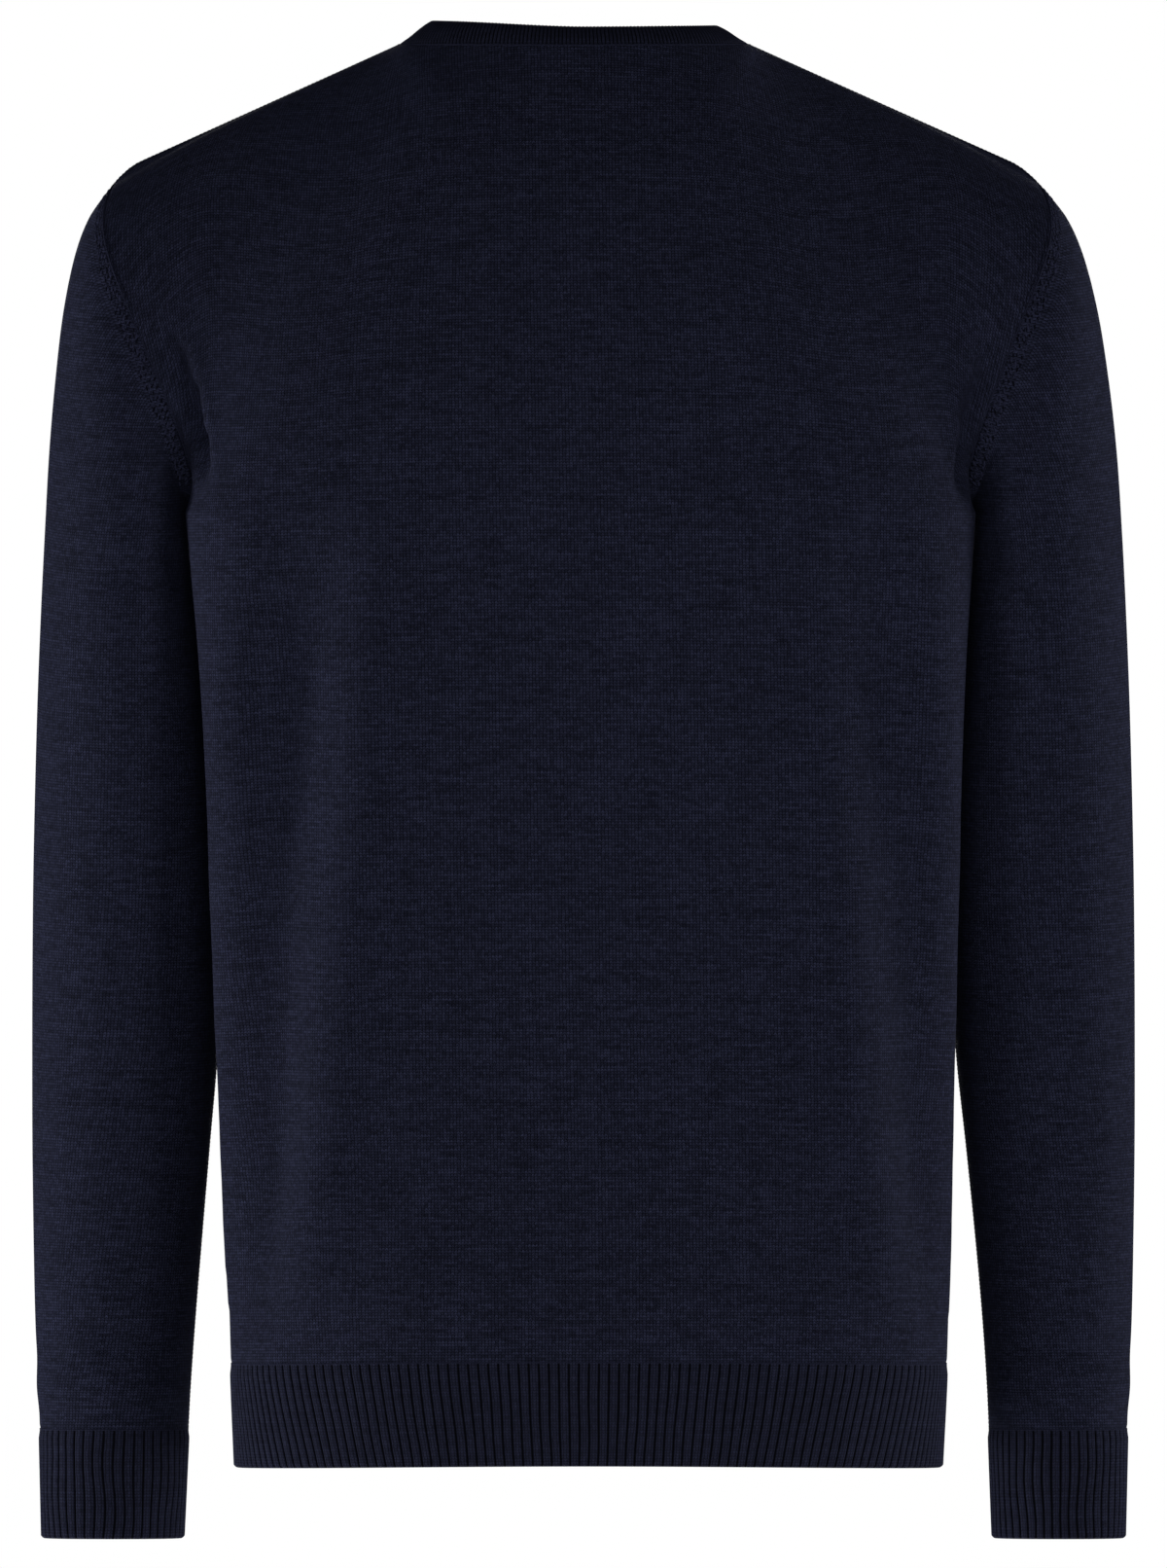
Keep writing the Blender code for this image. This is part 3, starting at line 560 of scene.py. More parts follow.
def crease_heights(surface, grid):
    """How far the creases of a surface raise each of its points."""
    points = grid.reshape(-1, 3)
    total = np.zeros(len(points))
    for _, half_width, height, *places in (row for row in CREASES if row[0] == surface):
        path = crease_path(surface, np.array(places, float), grid)
        best = np.full(len(points), np.inf)
        where = np.zeros(len(points))
        for index in range(len(path) - 1):
            run = path[index + 1] - path[index]
            share = np.clip((points - path[index]) @ run / max(run @ run, TINY), 0, 1)
            distance = np.linalg.norm(points - path[index] - share[:, None] * run, axis=1)
            closer = distance < best
            best[closer] = distance[closer]
            where[closer] = (index + share[closer]) / (len(path) - 1)
        reach = best / half_width
        flank = FLANK_HEIGHT * np.exp(-(((reach - FLANK_PLACE) / FLANK_WIDTH) ** 2))
        ends = smoothstep(0, CREASE_END, where) * smoothstep(1, 1 - CREASE_END, where)
        total += height * (np.exp(-(reach**2)) - flank) * ends
    return total.reshape(grid.shape[:2])


def settled(points):
    """The garment hangs a little off true, and less at the outer sides of the sleeves."""
    heights = np.clip(points[..., 2], LEAN_HEIGHTS[0], LEAN_HEIGHTS[-1])
    shift = smooth(np.array(LEAN_HEIGHTS), np.array(LEAN_SHIFTS), heights)
    outside = smoothstep(*HELD_X, np.abs(points[..., 0]))
    held = outside * (HELD_AT_TOP + (1 - HELD_AT_TOP) * smoothstep(*HELD_HEIGHTS, points[..., 2]))
    moved = points.copy()
    moved[..., 0] += shift * (1 - held)
    return moved


def valley(distance):
    return -VALLEY_DEPTH * np.exp(-((distance / VALLEY_HALF_WIDTH) ** 2))


# ================ building pieces
SHARP_ANGLE = math.radians(60)
CHAIN_STEPS = 4
CHAIN_SIDES = 6
CHAIN_PITCH = 0.0021
CHAIN_SINK = 0.35
CHAIN_WAIST = 0.62
CHAIN_SWELL = 0.45
CHAIN_WIDTH = 1.25


def put_in_scene(name, data):
    """A new object of this data in the scene."""
    item = bpy.data.objects.new(name, data)
    bpy.context.scene.collection.objects.link(item)
    return item


def new_piece(name, points, faces, corner_uv, material, node=None, creased=True):
    """A mesh object that rides on the row's one body, and stands for a CAD node if it names one."""
    mesh = bpy.data.meshes.new(name)
    mesh.from_pydata(points.tolist(), [], faces)
    layer = mesh.uv_layers.new(name="cloth")
    layer.data.foreach_set("uv", corner_uv.reshape(-1).astype(np.float32))
    mesh.shade_smooth()
    if creased:
        mesh.set_sharp_from_angle(angle=SHARP_ANGLE)
    mesh.materials.append(material)
    piece = put_in_scene(name, mesh)
    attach(piece, "root")
    if node:
        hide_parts(node)
    return piece


def shell(name, outer, inner, uv, closed, material, node):
    """A closed sheet from matching grids of outer and inner points. uv has one more column than
    the grids if they close on themselves."""
    rows, columns = outer.shape[:2]
    count = rows * columns
    quads = grid_faces(rows, columns, closed)
    last = columns if closed else columns - 1
    row, col = np.meshgrid(np.arange(rows - 1), np.arange(last), indexing="ij")
    corners = ((row, col), (row, col + 1), (row + 1, col + 1), (row + 1, col))
    corner_uv = np.stack([uv[corner] for corner in corners], axis=2).reshape(-1, 4, 2)
    rims, rim_uv = [], []

    def rim(a, b, uv_a, uv_b):
        rims.append([a, b, b + count, a + count])
        rim_uv.append([uv_a, uv_b, uv_b, uv_a])

    for c in range(last):
        d = (c + 1) % columns
        rim(d, c, uv[0, c + 1], uv[0, c])
        top = (rows - 1) * columns
        rim(top + c, top + d, uv[-1, c], uv[-1, c + 1])
    if not closed:
        for r in range(rows - 1):
            rim(r * columns, (r + 1) * columns, uv[r, 0], uv[r + 1, 0])
            end = columns - 1
            rim((r + 1) * columns + end, r * columns + end, uv[r + 1, -1], uv[r, -1])
    faces = np.concatenate([quads, quads[:, ::-1] + count, np.array(rims)])
    all_uv = np.concatenate([corner_uv, corner_uv[:, ::-1], np.array(rim_uv)])
    points = settled(np.concatenate([outer.reshape(-1, 3), inner.reshape(-1, 3)]))
    return new_piece(name, points, faces.tolist(), all_uv, material, node)


def chain(name, line, normals, radius, closed):
    """A row of linked stitches along a seam: a thin beaded tube that lies in its valley."""
    line = line + normals * (CHAIN_SINK * radius - VALLEY_DEPTH)
    if closed:
        line = np.concatenate([line, line[:1]])
        normals = np.concatenate([normals, normals[:1]])
    travelled = travel(line)
    beads = max(2, round(travelled[-1] / CHAIN_PITCH))
    at = np.linspace(0, travelled[-1], beads * CHAIN_STEPS + 1)
    centre = taken(line, travelled, at)
    tangent = np.gradient(centre, axis=0)
    tangent /= np.maximum(np.linalg.norm(tangent, axis=1), TINY)[:, None]
    side = np.cross(tangent, taken(normals, travelled, at))
    side /= np.maximum(np.linalg.norm(side, axis=1), TINY)[:, None]
    up = np.cross(side, tangent)
    swell = np.abs(np.sin(np.arange(len(at)) * math.pi / CHAIN_STEPS))
    size = radius * (CHAIN_WAIST + CHAIN_SWELL * swell)
    turns = np.arange(CHAIN_SIDES) * 2 * math.pi / CHAIN_SIDES
    ring = side[:, None] * np.cos(turns)[:, None] * CHAIN_WIDTH + up[:, None] * np.sin(turns)[:, None]
    points = (centre[:, None] + ring * size[:, None, None]).reshape(-1, 3)
    faces = grid_faces(len(at), CHAIN_SIDES, True)
    first = list(range(CHAIN_SIDES))
    caps = [first[::-1], [len(points) - CHAIN_SIDES + corner for corner in first]]
    uv = np.stack(np.broadcast_arrays(turns * radius, at[:, None]), axis=2).reshape(-1, 2)
    corner_uv = np.concatenate([uv[faces].reshape(-1, 2), uv[caps[0]], uv[caps[1]]])
    new_piece(name, settled(points), faces.tolist() + caps, corner_uv, SEAM_YARN, creased=False)


# ================ materials
NAVY = (0.0125, 0.0140, 0.0285)
RIB_NAVY = (0.0128, 0.0142, 0.0285)
SEAM_NAVY = (0.0110, 0.0122, 0.0245)
MARK_NAVY = (0.0165, 0.0180, 0.0370)
# Near black: painted shade in the holes between the fashioning marks
PIT_SHADE_NAVY = (0.0030, 0.0032, 0.0062)
WALE = 0.00160
COURSE = 0.00135
HEM_PITCH = 0.0048
CUFF_PITCH = 0.0046
BAND_PITCH = 0.0019
MELANGE = 0.22
RIB_MELANGE = 0.12

# Wool: the same all over, so each is set on the shader's own socket
KNIT_ROUGHNESS = 0.92
YARN_ROUGHNESS = 0.90
WOOL = {
    "Specular IOR Level": 0.02,
    "Sheen Weight": 0.05,
    "Sheen Roughness": 0.50,
    "Sheen Tint": (0.20, 0.22, 0.40, 1.0),
}

# A stitch: how far it wanders, slants and dips, in shares of a wale or a course
WANDER_SCALE = 0.35
WANDER = 0.12
SLANT = 0.5
FURROW_POWER = 2.6
DIMPLE_POWER = 4.0
DIMPLE = 0.25
LOOP_POWER = 0.7
STITCH_DEPTH = 0.00016
# The stitch's height sets the colour too: painted shade between stitches, painted highlight on crests
STITCH_PAINTED_SHADE_AND_HIGHLIGHT = (0.15, 1.62)
# Painted shade in a rib's furrows: the colour falls to the last share over this span, from a rib's
# middle (0) to its furrow (1)
RIB_FURROW = (0.62, 0.90)
RIB_FURROW_PAINTED_SHADE = 0.12

# Tone: the spread of each part of it, the first three in shares of the melange
LOOP_TONE = 1.4
YARN_TONE = 1.35
WALE_TONE = 0.25
FIBRE_TONE = 0.18
CLOUD_TONE = 0.03
# Streaks or spots to the metre, and steps that keep one yarn or wale apart from the next
YARN_STREAKS = 55.0
WALE_STREAKS = 14.0
FIBRE_SCALE = 1400.0
CLOUD_SCALE = 9.0
YARN_APART = 7.31
WALE_APART = 5.17
DARK_SHARE = 0.10
LIGHT_SHARE = 2.0
PLY_SCALE = 1500.0
PLY_TONE = 0.30
# The part of a noise that is used, from low to high
NOISE_SPAN = (0.3, 0.7)
YARN_SPAN = (0.34, 0.66)
FINE_SPAN = (0.25, 0.75)


class Nodes:
    """Short calls that add a node to a tree, link its inputs and return its first output."""

    def __init__(self, tree):
        self.tree = tree

    def put(self, socket, value):
        if isinstance(value, bpy.types.NodeSocket):
            self.tree.links.new(value, socket)
        else:
            socket.default_value = value

    def add(self, kind, values=(), **settings):
        node = self.tree.nodes.new("ShaderNode" + kind)
        for name, setting in settings.items():
            setattr(node, name, setting)
        for socket, value in zip(node.inputs, values):
            self.put(socket, value)
        return node

    def maths(self, operation, a, b=0.0, c=0.0):
        return self.add("Math", (a, b, c), operation=operation).outputs[0]

    def product(self, a, b):
        return self.maths("MULTIPLY", a, b)

    def combine(self, x, y, z=0.0):
        return self.add("CombineXYZ", (x, y, z)).outputs[0]

    def noise(self, vector, scale, detail, rough=0.5):
        node = self.add("TexNoise")
        settings = {"Vector": vector, "Scale": scale, "Detail": detail, "Roughness": rough}
        for name, value in settings.items():
            self.put(node.inputs[name], value)
        return node.outputs["Fac"]

    def ranged(self, value, span, to, smoothed=False):
        """A value's span, low to high, turned into another one."""
        node = self.add("MapRange", interpolation_type="SMOOTHSTEP" if smoothed else "LINEAR")
        settings = zip(("From Min", "From Max", "To Min", "To Max"), (*span, *to))
        for name, number in (("Value", value), *settings):
            self.put(node.inputs[name], number)
        return node.outputs[0]

    def toned(self, value, span, spread):
        """A value's span, turned into tones as far below 1 as above it."""
        return self.ranged(value, span, (1 - spread, 1 + spread))

    def from_middle(self, value):
        """How far a value is from the middle between whole numbers: 1 is at one of them."""
        doubled = self.product(self.maths("FRACT", value), 2.0)
        return self.maths("ABSOLUTE", self.maths("SUBTRACT", doubled, 1.0))

    def tinted(self, blend, factor, first, second):
        """Two colours mixed, which make the shader's base colour."""
        node = self.add("Mix", data_type="RGBA", blend_type=blend)
        for socket, value in zip(("Factor", 6, 7), (factor, first, second)):
            self.put(node.inputs[socket], value)
        self.put(self.tree.nodes["Principled BSDF"].inputs["Base Color"], node.outputs[2])


def new_wool(name, roughness):
    """A matt wool material, its shader and the calls that add to its nodes."""
    material = bpy.data.materials.new(name)
    material.use_nodes = True
    shader = material.node_tree.nodes["Principled BSDF"]
    for socket, value in (("Roughness", roughness), *WOOL.items()):
        shader.inputs[socket].default_value = value
    return material, shader, Nodes(material.node_tree)


def knit_material(name, colour, wale, melange, rib=0.0):
    """Plain knit in cloth coordinates, in metres: V-shaped stitches in wales and courses, as bumps with
    painted shade between them and painted highlight on their crests, a melange yarn whose tone
    changes along each course, and painted shade in the furrows if the cloth is ribbed."""
    material, shader, n = new_wool(name, KNIT_ROUGHNESS)
    uv = n.add("UVMap", uv_map="cloth")
    split = n.add("SeparateXYZ", (uv.outputs[0],))
    across, down = split.outputs[0], split.outputs[1]

    wales = n.product(across, 1 / wale)
    courses = n.product(down, 1 / COURSE)
    coarse = n.combine(n.product(wales, WANDER_SCALE), n.product(courses, WANDER_SCALE))
    wander = n.ranged(n.noise(coarse, 1.0, 1.0), NOISE_SPAN, (-WANDER, WANDER))
    wales = n.maths("ADD", wales, wander)
    aside = n.from_middle(wales)
    slanted = n.maths("ADD", courses, n.product(aside, SLANT))
    between = n.maths("SUBTRACT", 1.0, n.maths("POWER", aside, FURROW_POWER))
    middle = n.maths("POWER", n.maths("SUBTRACT", 1.0, aside), DIMPLE_POWER)
    dimple = n.maths("SUBTRACT", 1.0, n.product(middle, DIMPLE))
    half_turn = n.product(n.maths("FRACT", slanted), math.pi)
    arch = n.maths("POWER", n.maths("SINE", half_turn), LOOP_POWER)
    stitch = n.product(n.product(between, dimple), arch)

    yarn = n.maths("FLOOR", slanted)
    loop = n.combine(n.maths("FLOOR", wales), yarn)
    scatter = n.add("TexWhiteNoise", (loop,), noise_dimensions="2D")
    loop_tone = n.toned(scatter.outputs["Value"], (0.0, 1.0), LOOP_TONE * melange)
    along_yarn = n.combine(n.product(across, YARN_STREAKS), n.product(yarn, YARN_APART))
    yarn_tone = n.toned(n.noise(along_yarn, 1.0, 3.0, 0.6), YARN_SPAN, YARN_TONE * melange)
    whole_wale = n.product(n.maths("FLOOR", wales), WALE_APART)
    along_wale = n.combine(whole_wale, n.product(down, WALE_STREAKS))
    wale_tone = n.toned(n.noise(along_wale, 1.0, 1.0), NOISE_SPAN, WALE_TONE * melange)
    cloth = n.combine(across, down)
    fibre = n.toned(n.noise(cloth, FIBRE_SCALE, 2.0, 0.7), FINE_SPAN, FIBRE_TONE)
    cloud = n.toned(n.noise(cloth, CLOUD_SCALE, 2.0), NOISE_SPAN, CLOUD_TONE)
    tone = n.product(n.product(loop_tone, yarn_tone), n.product(wale_tone, cloud))
    # Painted shade between the stitches and painted highlight on their crests, from the stitch's height
    value = n.product(n.product(tone, fibre), n.ranged(stitch, (0.0, 1.0), STITCH_PAINTED_SHADE_AND_HIGHLIGHT))
    if rib:
        # Painted shade in the rib's furrows
        place = n.from_middle(n.product(across, 1 / rib))
        painted_furrow_shade = n.ranged(place, RIB_FURROW, (1.0, RIB_FURROW_PAINTED_SHADE), smoothed=True)
        value = n.product(value, painted_furrow_shade)
    # The dark end is less blue than the light one
    dark = [DARK_SHARE * part for part in (colour[0], colour[0], colour[1])]
    light = [LIGHT_SHARE * part for part in colour]
    n.tinted("MIX", n.product(value, 1 / LIGHT_SHARE), (*dark, 1.0), (*light, 1.0))
    bump = n.add("Bump")
    bump.inputs["Strength"].default_value = 1.0
    bump.inputs["Distance"].default_value = STITCH_DEPTH
    n.put(bump.inputs["Height"], stitch)
    n.put(shader.inputs["Normal"], bump.outputs[0])
    return material


def yarn_material(name, colour):
    """Yarn of the seams and fashioning marks, and the painted shade in the holes between the marks,
    with a little tone change along it.
    """
    material, _, n = new_wool(name, YARN_ROUGHNESS)
    place = n.add("TexCoord").outputs["Object"]
    tone = n.toned(n.noise(place, PLY_SCALE, 2.0, 0.6), FINE_SPAN, PLY_TONE)
    n.tinted("MULTIPLY", 1.0, (*colour, 1.0), n.combine(tone, tone, tone))
    return material


MATERIALS = {
    name: knit_material(name + "_knit", NAVY, WALE, MELANGE)
    for name in ("back_panel", "front_panel", "left_sleeve", "right_sleeve")
}
# Each ribbed piece's rib pitch and wales to a rib
RIBBED = {
    "neckband": (BAND_PITCH, 1),
    "back_hem_rib": (HEM_PITCH, 3),
    "front_hem_rib": (HEM_PITCH, 3),
    "left_cuff_rib": (CUFF_PITCH, 3),
    "right_cuff_rib": (CUFF_PITCH, 3),
}
for name, (pitch, wales) in RIBBED.items():
    MATERIALS[name] = knit_material(name + "_knit", RIB_NAVY, pitch / wales, RIB_MELANGE, pitch)
SEAM_YARN = yarn_material("seam_yarn", SEAM_NAVY)
MARK_YARN = yarn_material("mark_yarn", MARK_NAVY)
# Painted shade in the holes between the fashioning marks
PIT_SHADE_PAINT = yarn_material("pit_painted_shade", PIT_SHADE_NAVY)


# ================ panels, sleeves
back = eased(panel_grid(BACK))
front = eased(panel_grid(FRONT))
left_sleeve = sleeve_grid()
right_sleeve = mirrored(left_sleeve)[:, ::-1]
surfaces = [(back, False), (front, False), (left_sleeve, True), (right_sleeve, True)]
names = ("back", "front", "left", "right")
cloth = {
    name: (grid, normals)
    for name, (grid, _), normals in zip(names, surfaces, shared_normals(surfaces))
}


def lay_cloth(name, grid, normals, raised, uv, closed):
    """A panel or a sleeve as a shell, raised by its creases and sunk at its seams."""
    outer = grid + normals * raised[..., None]
    inner = outer - normals * WALL
    shell(name + "_cloth", outer, inner, uv, closed, MATERIALS[name], name)


for surface in ("back", "front"):
    grid, normals = cloth[surface]
    from_left = travel(grid, 1)
    from_hem = travel(grid, 0)
    to_seam = np.minimum(np.minimum(from_left, from_left[:, -1:] - from_left), from_hem[-1:] - from_hem)
    raised = crease_heights(surface, grid)
    raised *= smoothstep(0, CREASE_SEAM_FADE, to_seam) * smoothstep(0, HEM_FADE, from_hem)
    raised += valley(np.minimum(to_seam, from_hem))
    middle = grid.shape[1] // 2
    uv = np.stack([from_left - from_left[:, middle : middle + 1], from_hem], axis=2)
    lay_cloth(surface + "_panel", grid, normals, raised, uv, False)
for surface in ("left", "right"):
    grid, normals = cloth[surface]
    from_cuff = travel(grid, 0)
    from_armhole = from_cuff[-1:] - from_cuff
    seam = int(np.argmin(grid[-1, :, 2]))
    round_ring = travel(np.concatenate([grid, grid[:, :1]], axis=1), 1)
    round_ring = round_ring - round_ring[:, seam : seam + 1]
    raised = crease_heights(surface, grid)
    raised *= smoothstep(0, CREASE_SEAM_FADE, from_armhole) * smoothstep(0, CUFF_FADE, from_cuff)
    at_seam = SLEEVE_SEAM_SHARE * valley(np.abs(round_ring[:, :-1]))
    raised += np.minimum(valley(np.minimum(from_armhole, from_cuff)), at_seam)
    uv = np.stack([round_ring, np.concatenate([from_cuff, from_cuff[:, :1]], axis=1)], axis=2)
    lay_cloth(surface + "_sleeve", grid, normals, raised, uv, True)


# ================ ribbed bands
def level_line(outline, shares):
    """Points and level outward normals at shares of a dense level line's length."""
    travelled = travel(outline)
    heading = np.gradient(outline, travelled, axis=0)
    wanted = np.asarray(shares) * travelled[-1]
    points = taken(outline, travelled, wanted)
    facing = taken(heading[:, :2], travelled, wanted)
    facing /= np.linalg.norm(facing, axis=1)[:, None]
    normals = np.stack([facing[:, 1], -facing[:, 0], np.zeros(len(points))], axis=1)
    return points, normals


RIB_PLACES = (0.0, 0.07, 0.15, 0.28, 0.50, 0.72, 0.85, 0.93)
RIB_HEIGHTS = (0.0, 0.35, 0.82, 0.98, 1.0, 0.98, 0.82, 0.35)
BAND_ROWS = (
    *(0.0, 0.02, 0.05, 0.10, 0.17, 0.27, 0.38, 0.50),
    *(0.62, 0.73, 0.83, 0.90, 0.945, 0.975, 0.992, 1.0),
)
RIB_START_RELIEF = 0.45
RIB_START_RUN = 0.12
# Towards its free edge the wall thins by this share, and its inner face turns out by that one
EDGE_ROUNDING = 0.028
EDGE_THINNING = 0.62
EDGE_TUCK = 0.30
CUFF_LENGTH = 0.0525
# How far the ribs sway, in half hem lengths or in cuff lengths, and in how many waves
HEM_SWAY = (0.0013, 7)
CUFF_SWAY = (0.0045, 2)
HEM_LEAN_POWER = 1.1


def rib_relief(share, ribs, places):
    """How thick the ribbed wall is beyond its furrows at a row's share of the band's height."""
    heights = np.tile(RIB_HEIGHTS, ribs)
    if len(places) > len(heights):
        heights = np.append(heights, 0.0)
    start = RIB_START_RELIEF + (1 - RIB_START_RELIEF) * smoothstep(0, RIB_START_RUN, share)
    crest = (RIB_CREST_WALL - RIB_FURROW_WALL) * heights * start
    into_edge = np.clip((share - 1 + EDGE_ROUNDING) / EDGE_ROUNDING, 0, 1)
    rounding = 1 - EDGE_THINNING * into_edge**2
    return (RIB_FURROW_WALL + crest) * rounding, into_edge**2 * EDGE_TUCK * WALL


# The two waves of a sway: strength, waves along and down the band, and share of the phase
SWAY_WAVES = ((0.6, 1.0, 0.9, 1.0), (0.4, 2.3, -1.3, 2.1))
SWAY_GROWTH = 0.75


def sway(places, share, waves, phase):
    """Slow sideways waviness of the ribs, from none at the seam."""
    total = 0.0
    for strength, across, down, turn in SWAY_WAVES:
        angle = 2 * math.pi * (across * waves * places + down * share) + turn * phase
        total = total + strength * np.sin(angle)
    return total * np.sin(math.pi * share * SWAY_GROWTH)


def ribbed_band(name, row_line, ribs, pitch, closed, height):
    """A hem or a cuff, whose row_line gives each row's points and outward normals."""
    places = np.array([(rib + place) / ribs for rib in range(ribs) for place in RIB_PLACES])
    if not closed:
        places = np.append(places, 1.0)
    outer, inner = [], []
    for share in BAND_ROWS:
        points, normals = row_line(places, share)
        wall, tucked = rib_relief(share, ribs, places)
        inside = points - normals * WALL
        outer.append(inside + normals * wall[:, None])
        inner.append(inside + normals * tucked)
    outer = np.stack(outer[::-1])
    inner = np.stack(inner[::-1])
    across = np.append(places, 1.0) if closed else places
    down = np.array(BAND_ROWS[::-1]) * height
    uv = np.stack(np.broadcast_arrays(across[None, :] * ribs * pitch, down[:, None]), axis=2)
    node = name + "_rib"
    shell(name + "_cloth", outer, inner, uv, closed, MATERIALS[node], node)


def hem_row(side, phase):
    lift = BACK_HEM_LIFT if side == BACK else 0.0

    def row(places, share):
        outline = torso_outline(round(HEM_SEAM + (HEM_EDGE - HEM_SEAM) * share, 6), side)
        centred = 2 * places - 1
        lean = RIB_LEAN * share**HEM_LEAN_POWER
        leaned = centred * (1 - lean * (1 - np.abs(centred) ** RIB_LEAN_POWER))
        leaned += HEM_SWAY[0] * sway(places, share, HEM_SWAY[1], phase) * (1 - centred**2)
        points, normals = level_line(outline, (leaned + 1) / 2)
        points[:, 2] += lift * np.cos(np.clip(leaned, -1, 1) * math.pi / 2) ** 2
        return points, normals

    return row


def cuff_row(mirror, phase):
    def row(places, share):
        place = CUFF_SEAM_RING + (CUFF_EDGE_RING - CUFF_SEAM_RING) * share
        ring = sleeve_ring(float(place), np.linspace(0, 2 * math.pi, OUTLINE_STEPS + 1))
        swayed = places + CUFF_SWAY[0] * sway(places, share, CUFF_SWAY[1], phase)
        if mirror:
            swayed = swayed[::-1]
        points, normals = level_line(ring, np.mod(swayed, 1.0))
        if mirror:
            points, normals = mirrored(points), mirrored(normals)
        return points, normals

    return row


for name, side, ribs, phase in (
    ("back_hem", BACK, BACK_HEM_RIBS, 0.4),
    ("front_hem", FRONT, FRONT_HEM_RIBS, 1.9),
):
    ribbed_band(name, hem_row(side, phase), ribs, HEM_PITCH, False, HEM_SEAM - HEM_EDGE)
for mirror, name, phase in ((False, "left_cuff", 0.3), (True, "right_cuff", 1.1)):
    ribbed_band(name, cuff_row(mirror, phase), CUFF_RIBS, CUFF_PITCH, True, CUFF_LENGTH)

# ================ neckband
BAND_SHARES = (0.0, 0.02, 0.06, 0.14, 0.26, 0.40, 0.54, 0.68, 0.80, 0.89, 0.95, 0.985, 1.0)
BAND_RIB_POINTS = 5
BAND_RELIEF = 0.00036
BAND_LIFT = 0.0024
BAND_LIFT_PLACE = 0.066
BAND_LIFT_WIDTH = 0.045
MITRE_SEAM_RUN = 0.049
MITRE_START = 0.0004
NECK_DENSE = 900
# The band lifts where it is behind these depths, and its fine rib fades out at both its edges
LIFT_DEPTHS = (-0.06, 0.0)
RIB_POWER = 0.7
RIB_FADES = (0.10, 0.93)
FULL_WIDTH = 0.019
BAND_SEAM_SHARE = 0.8
EDGE_FROM = 0.88
EDGE_DROP = 0.0007
EDGE_TURN_IN = 0.0005


def neck_curve(line):
    """A neck line's left half as a dense curve from the V round to the middle of the back."""
    front_shares = np.linspace(1, 0, NECK_DENSE)
    back_shares = np.linspace(0, 1, NECK_DENSE // 2)[1:]
    points = [neck_point(line, FRONT, share) for share in front_shares]
    points += [neck_point(line, BACK, share) for share in back_shares]
    return np.array(points)


def curve_length(curve):
    return np.linalg.norm(np.diff(curve, axis=0), axis=1).sum()


seam_curve = neck_curve(NECK_SEAM)
edge_curve = neck_curve(NECK_EDGE)
seam_length = curve_length(seam_curve)
band_ribs = round(seam_length / BAND_PITCH)
band_steps = band_ribs * BAND_RIB_POINTS
arcs = MITRE_START + (seam_length - MITRE_START) * np.arange(band_steps + 1) / band_steps
seam_points = along(seam_curve, arcs / seam_length)
beyond = np.clip((arcs - MITRE_SEAM_RUN) / (seam_length - MITRE_SEAM_RUN), 0, 1)
edge_points = along(edge_curve, beyond)
on_mitre = np.clip(arcs / MITRE_SEAM_RUN, 0, 1)[:, None]
mitre = seam_curve[0] + (edge_curve[0] - seam_curve[0]) * on_mitre
edge_points = np.where(on_mitre < 1, mitre, edge_points)
band_shares = np.array(BAND_SHARES)[:, None]
left_half = seam_points[None] + band_shares[..., None] * (edge_points - seam_points)[None]
band = np.concatenate([left_half, mirrored(left_half)[:, -2::-1]], axis=1)
# The band stands a little higher at the left shoulder
near_left = np.exp(-(((band[..., 0] - BAND_LIFT_PLACE) / BAND_LIFT_WIDTH) ** 2))
band[..., 2] += BAND_LIFT * band_shares * near_left * smoothstep(*LIFT_DEPTHS, band[..., 1])
band_normals = shared_normals([(band, False)])[0]
rib_phase = np.concatenate([np.arange(len(arcs)), np.arange(len(arcs) - 1)[::-1]]) / BAND_RIB_POINTS
ribbing = (0.5 - 0.5 * np.cos(2 * math.pi * rib_phase))[None, :] ** RIB_POWER
fading = smoothstep(0, RIB_FADES[0], band_shares) * smoothstep(1.0, RIB_FADES[1], band_shares)
width = np.linalg.norm(edge_points - seam_points, axis=1)
width = np.concatenate([width, width[-2::-1]])[None, :]
fullness = np.clip(width / FULL_WIDTH, 0, 1)
edge_turn = smoothstep(EDGE_FROM, 1.0, band_shares) ** 2
roll = BAND_ROLL * np.sin(math.pi * band_shares) * fullness
lift = roll + BAND_RELIEF * ribbing * fading * fullness
lift = lift + valley(band_shares * width) * BAND_SEAM_SHARE - EDGE_DROP * edge_turn
tuck = EDGE_TURN_IN * edge_turn * np.ones_like(width)
band_outer = (band + band_normals * lift[..., None])[:, ::-1]
band_inner = (band + band_normals * (roll + tuck - WALL)[..., None])[:, ::-1]
band_uv = np.stack(np.broadcast_arrays(rib_phase * BAND_PITCH, band_shares * width), axis=2)[:, ::-1]
neckband = shell(
    "neckband_cloth", band_outer, band_inner, band_uv, False, MATERIALS["neckband"], "neckband"
)

# ================ seams
CHAIN_RADIUS = 0.00042
NECK_CHAIN_RADIUS = 0.00050
low_rows = slice(0, len(TORSO_EVENS))
tip = len(SHOULDER_PLACES) - 1
left_under = int(np.argmin(left_sleeve[-1, :, 2]))
right_under = int(np.argmin(right_sleeve[-1, :, 2]))
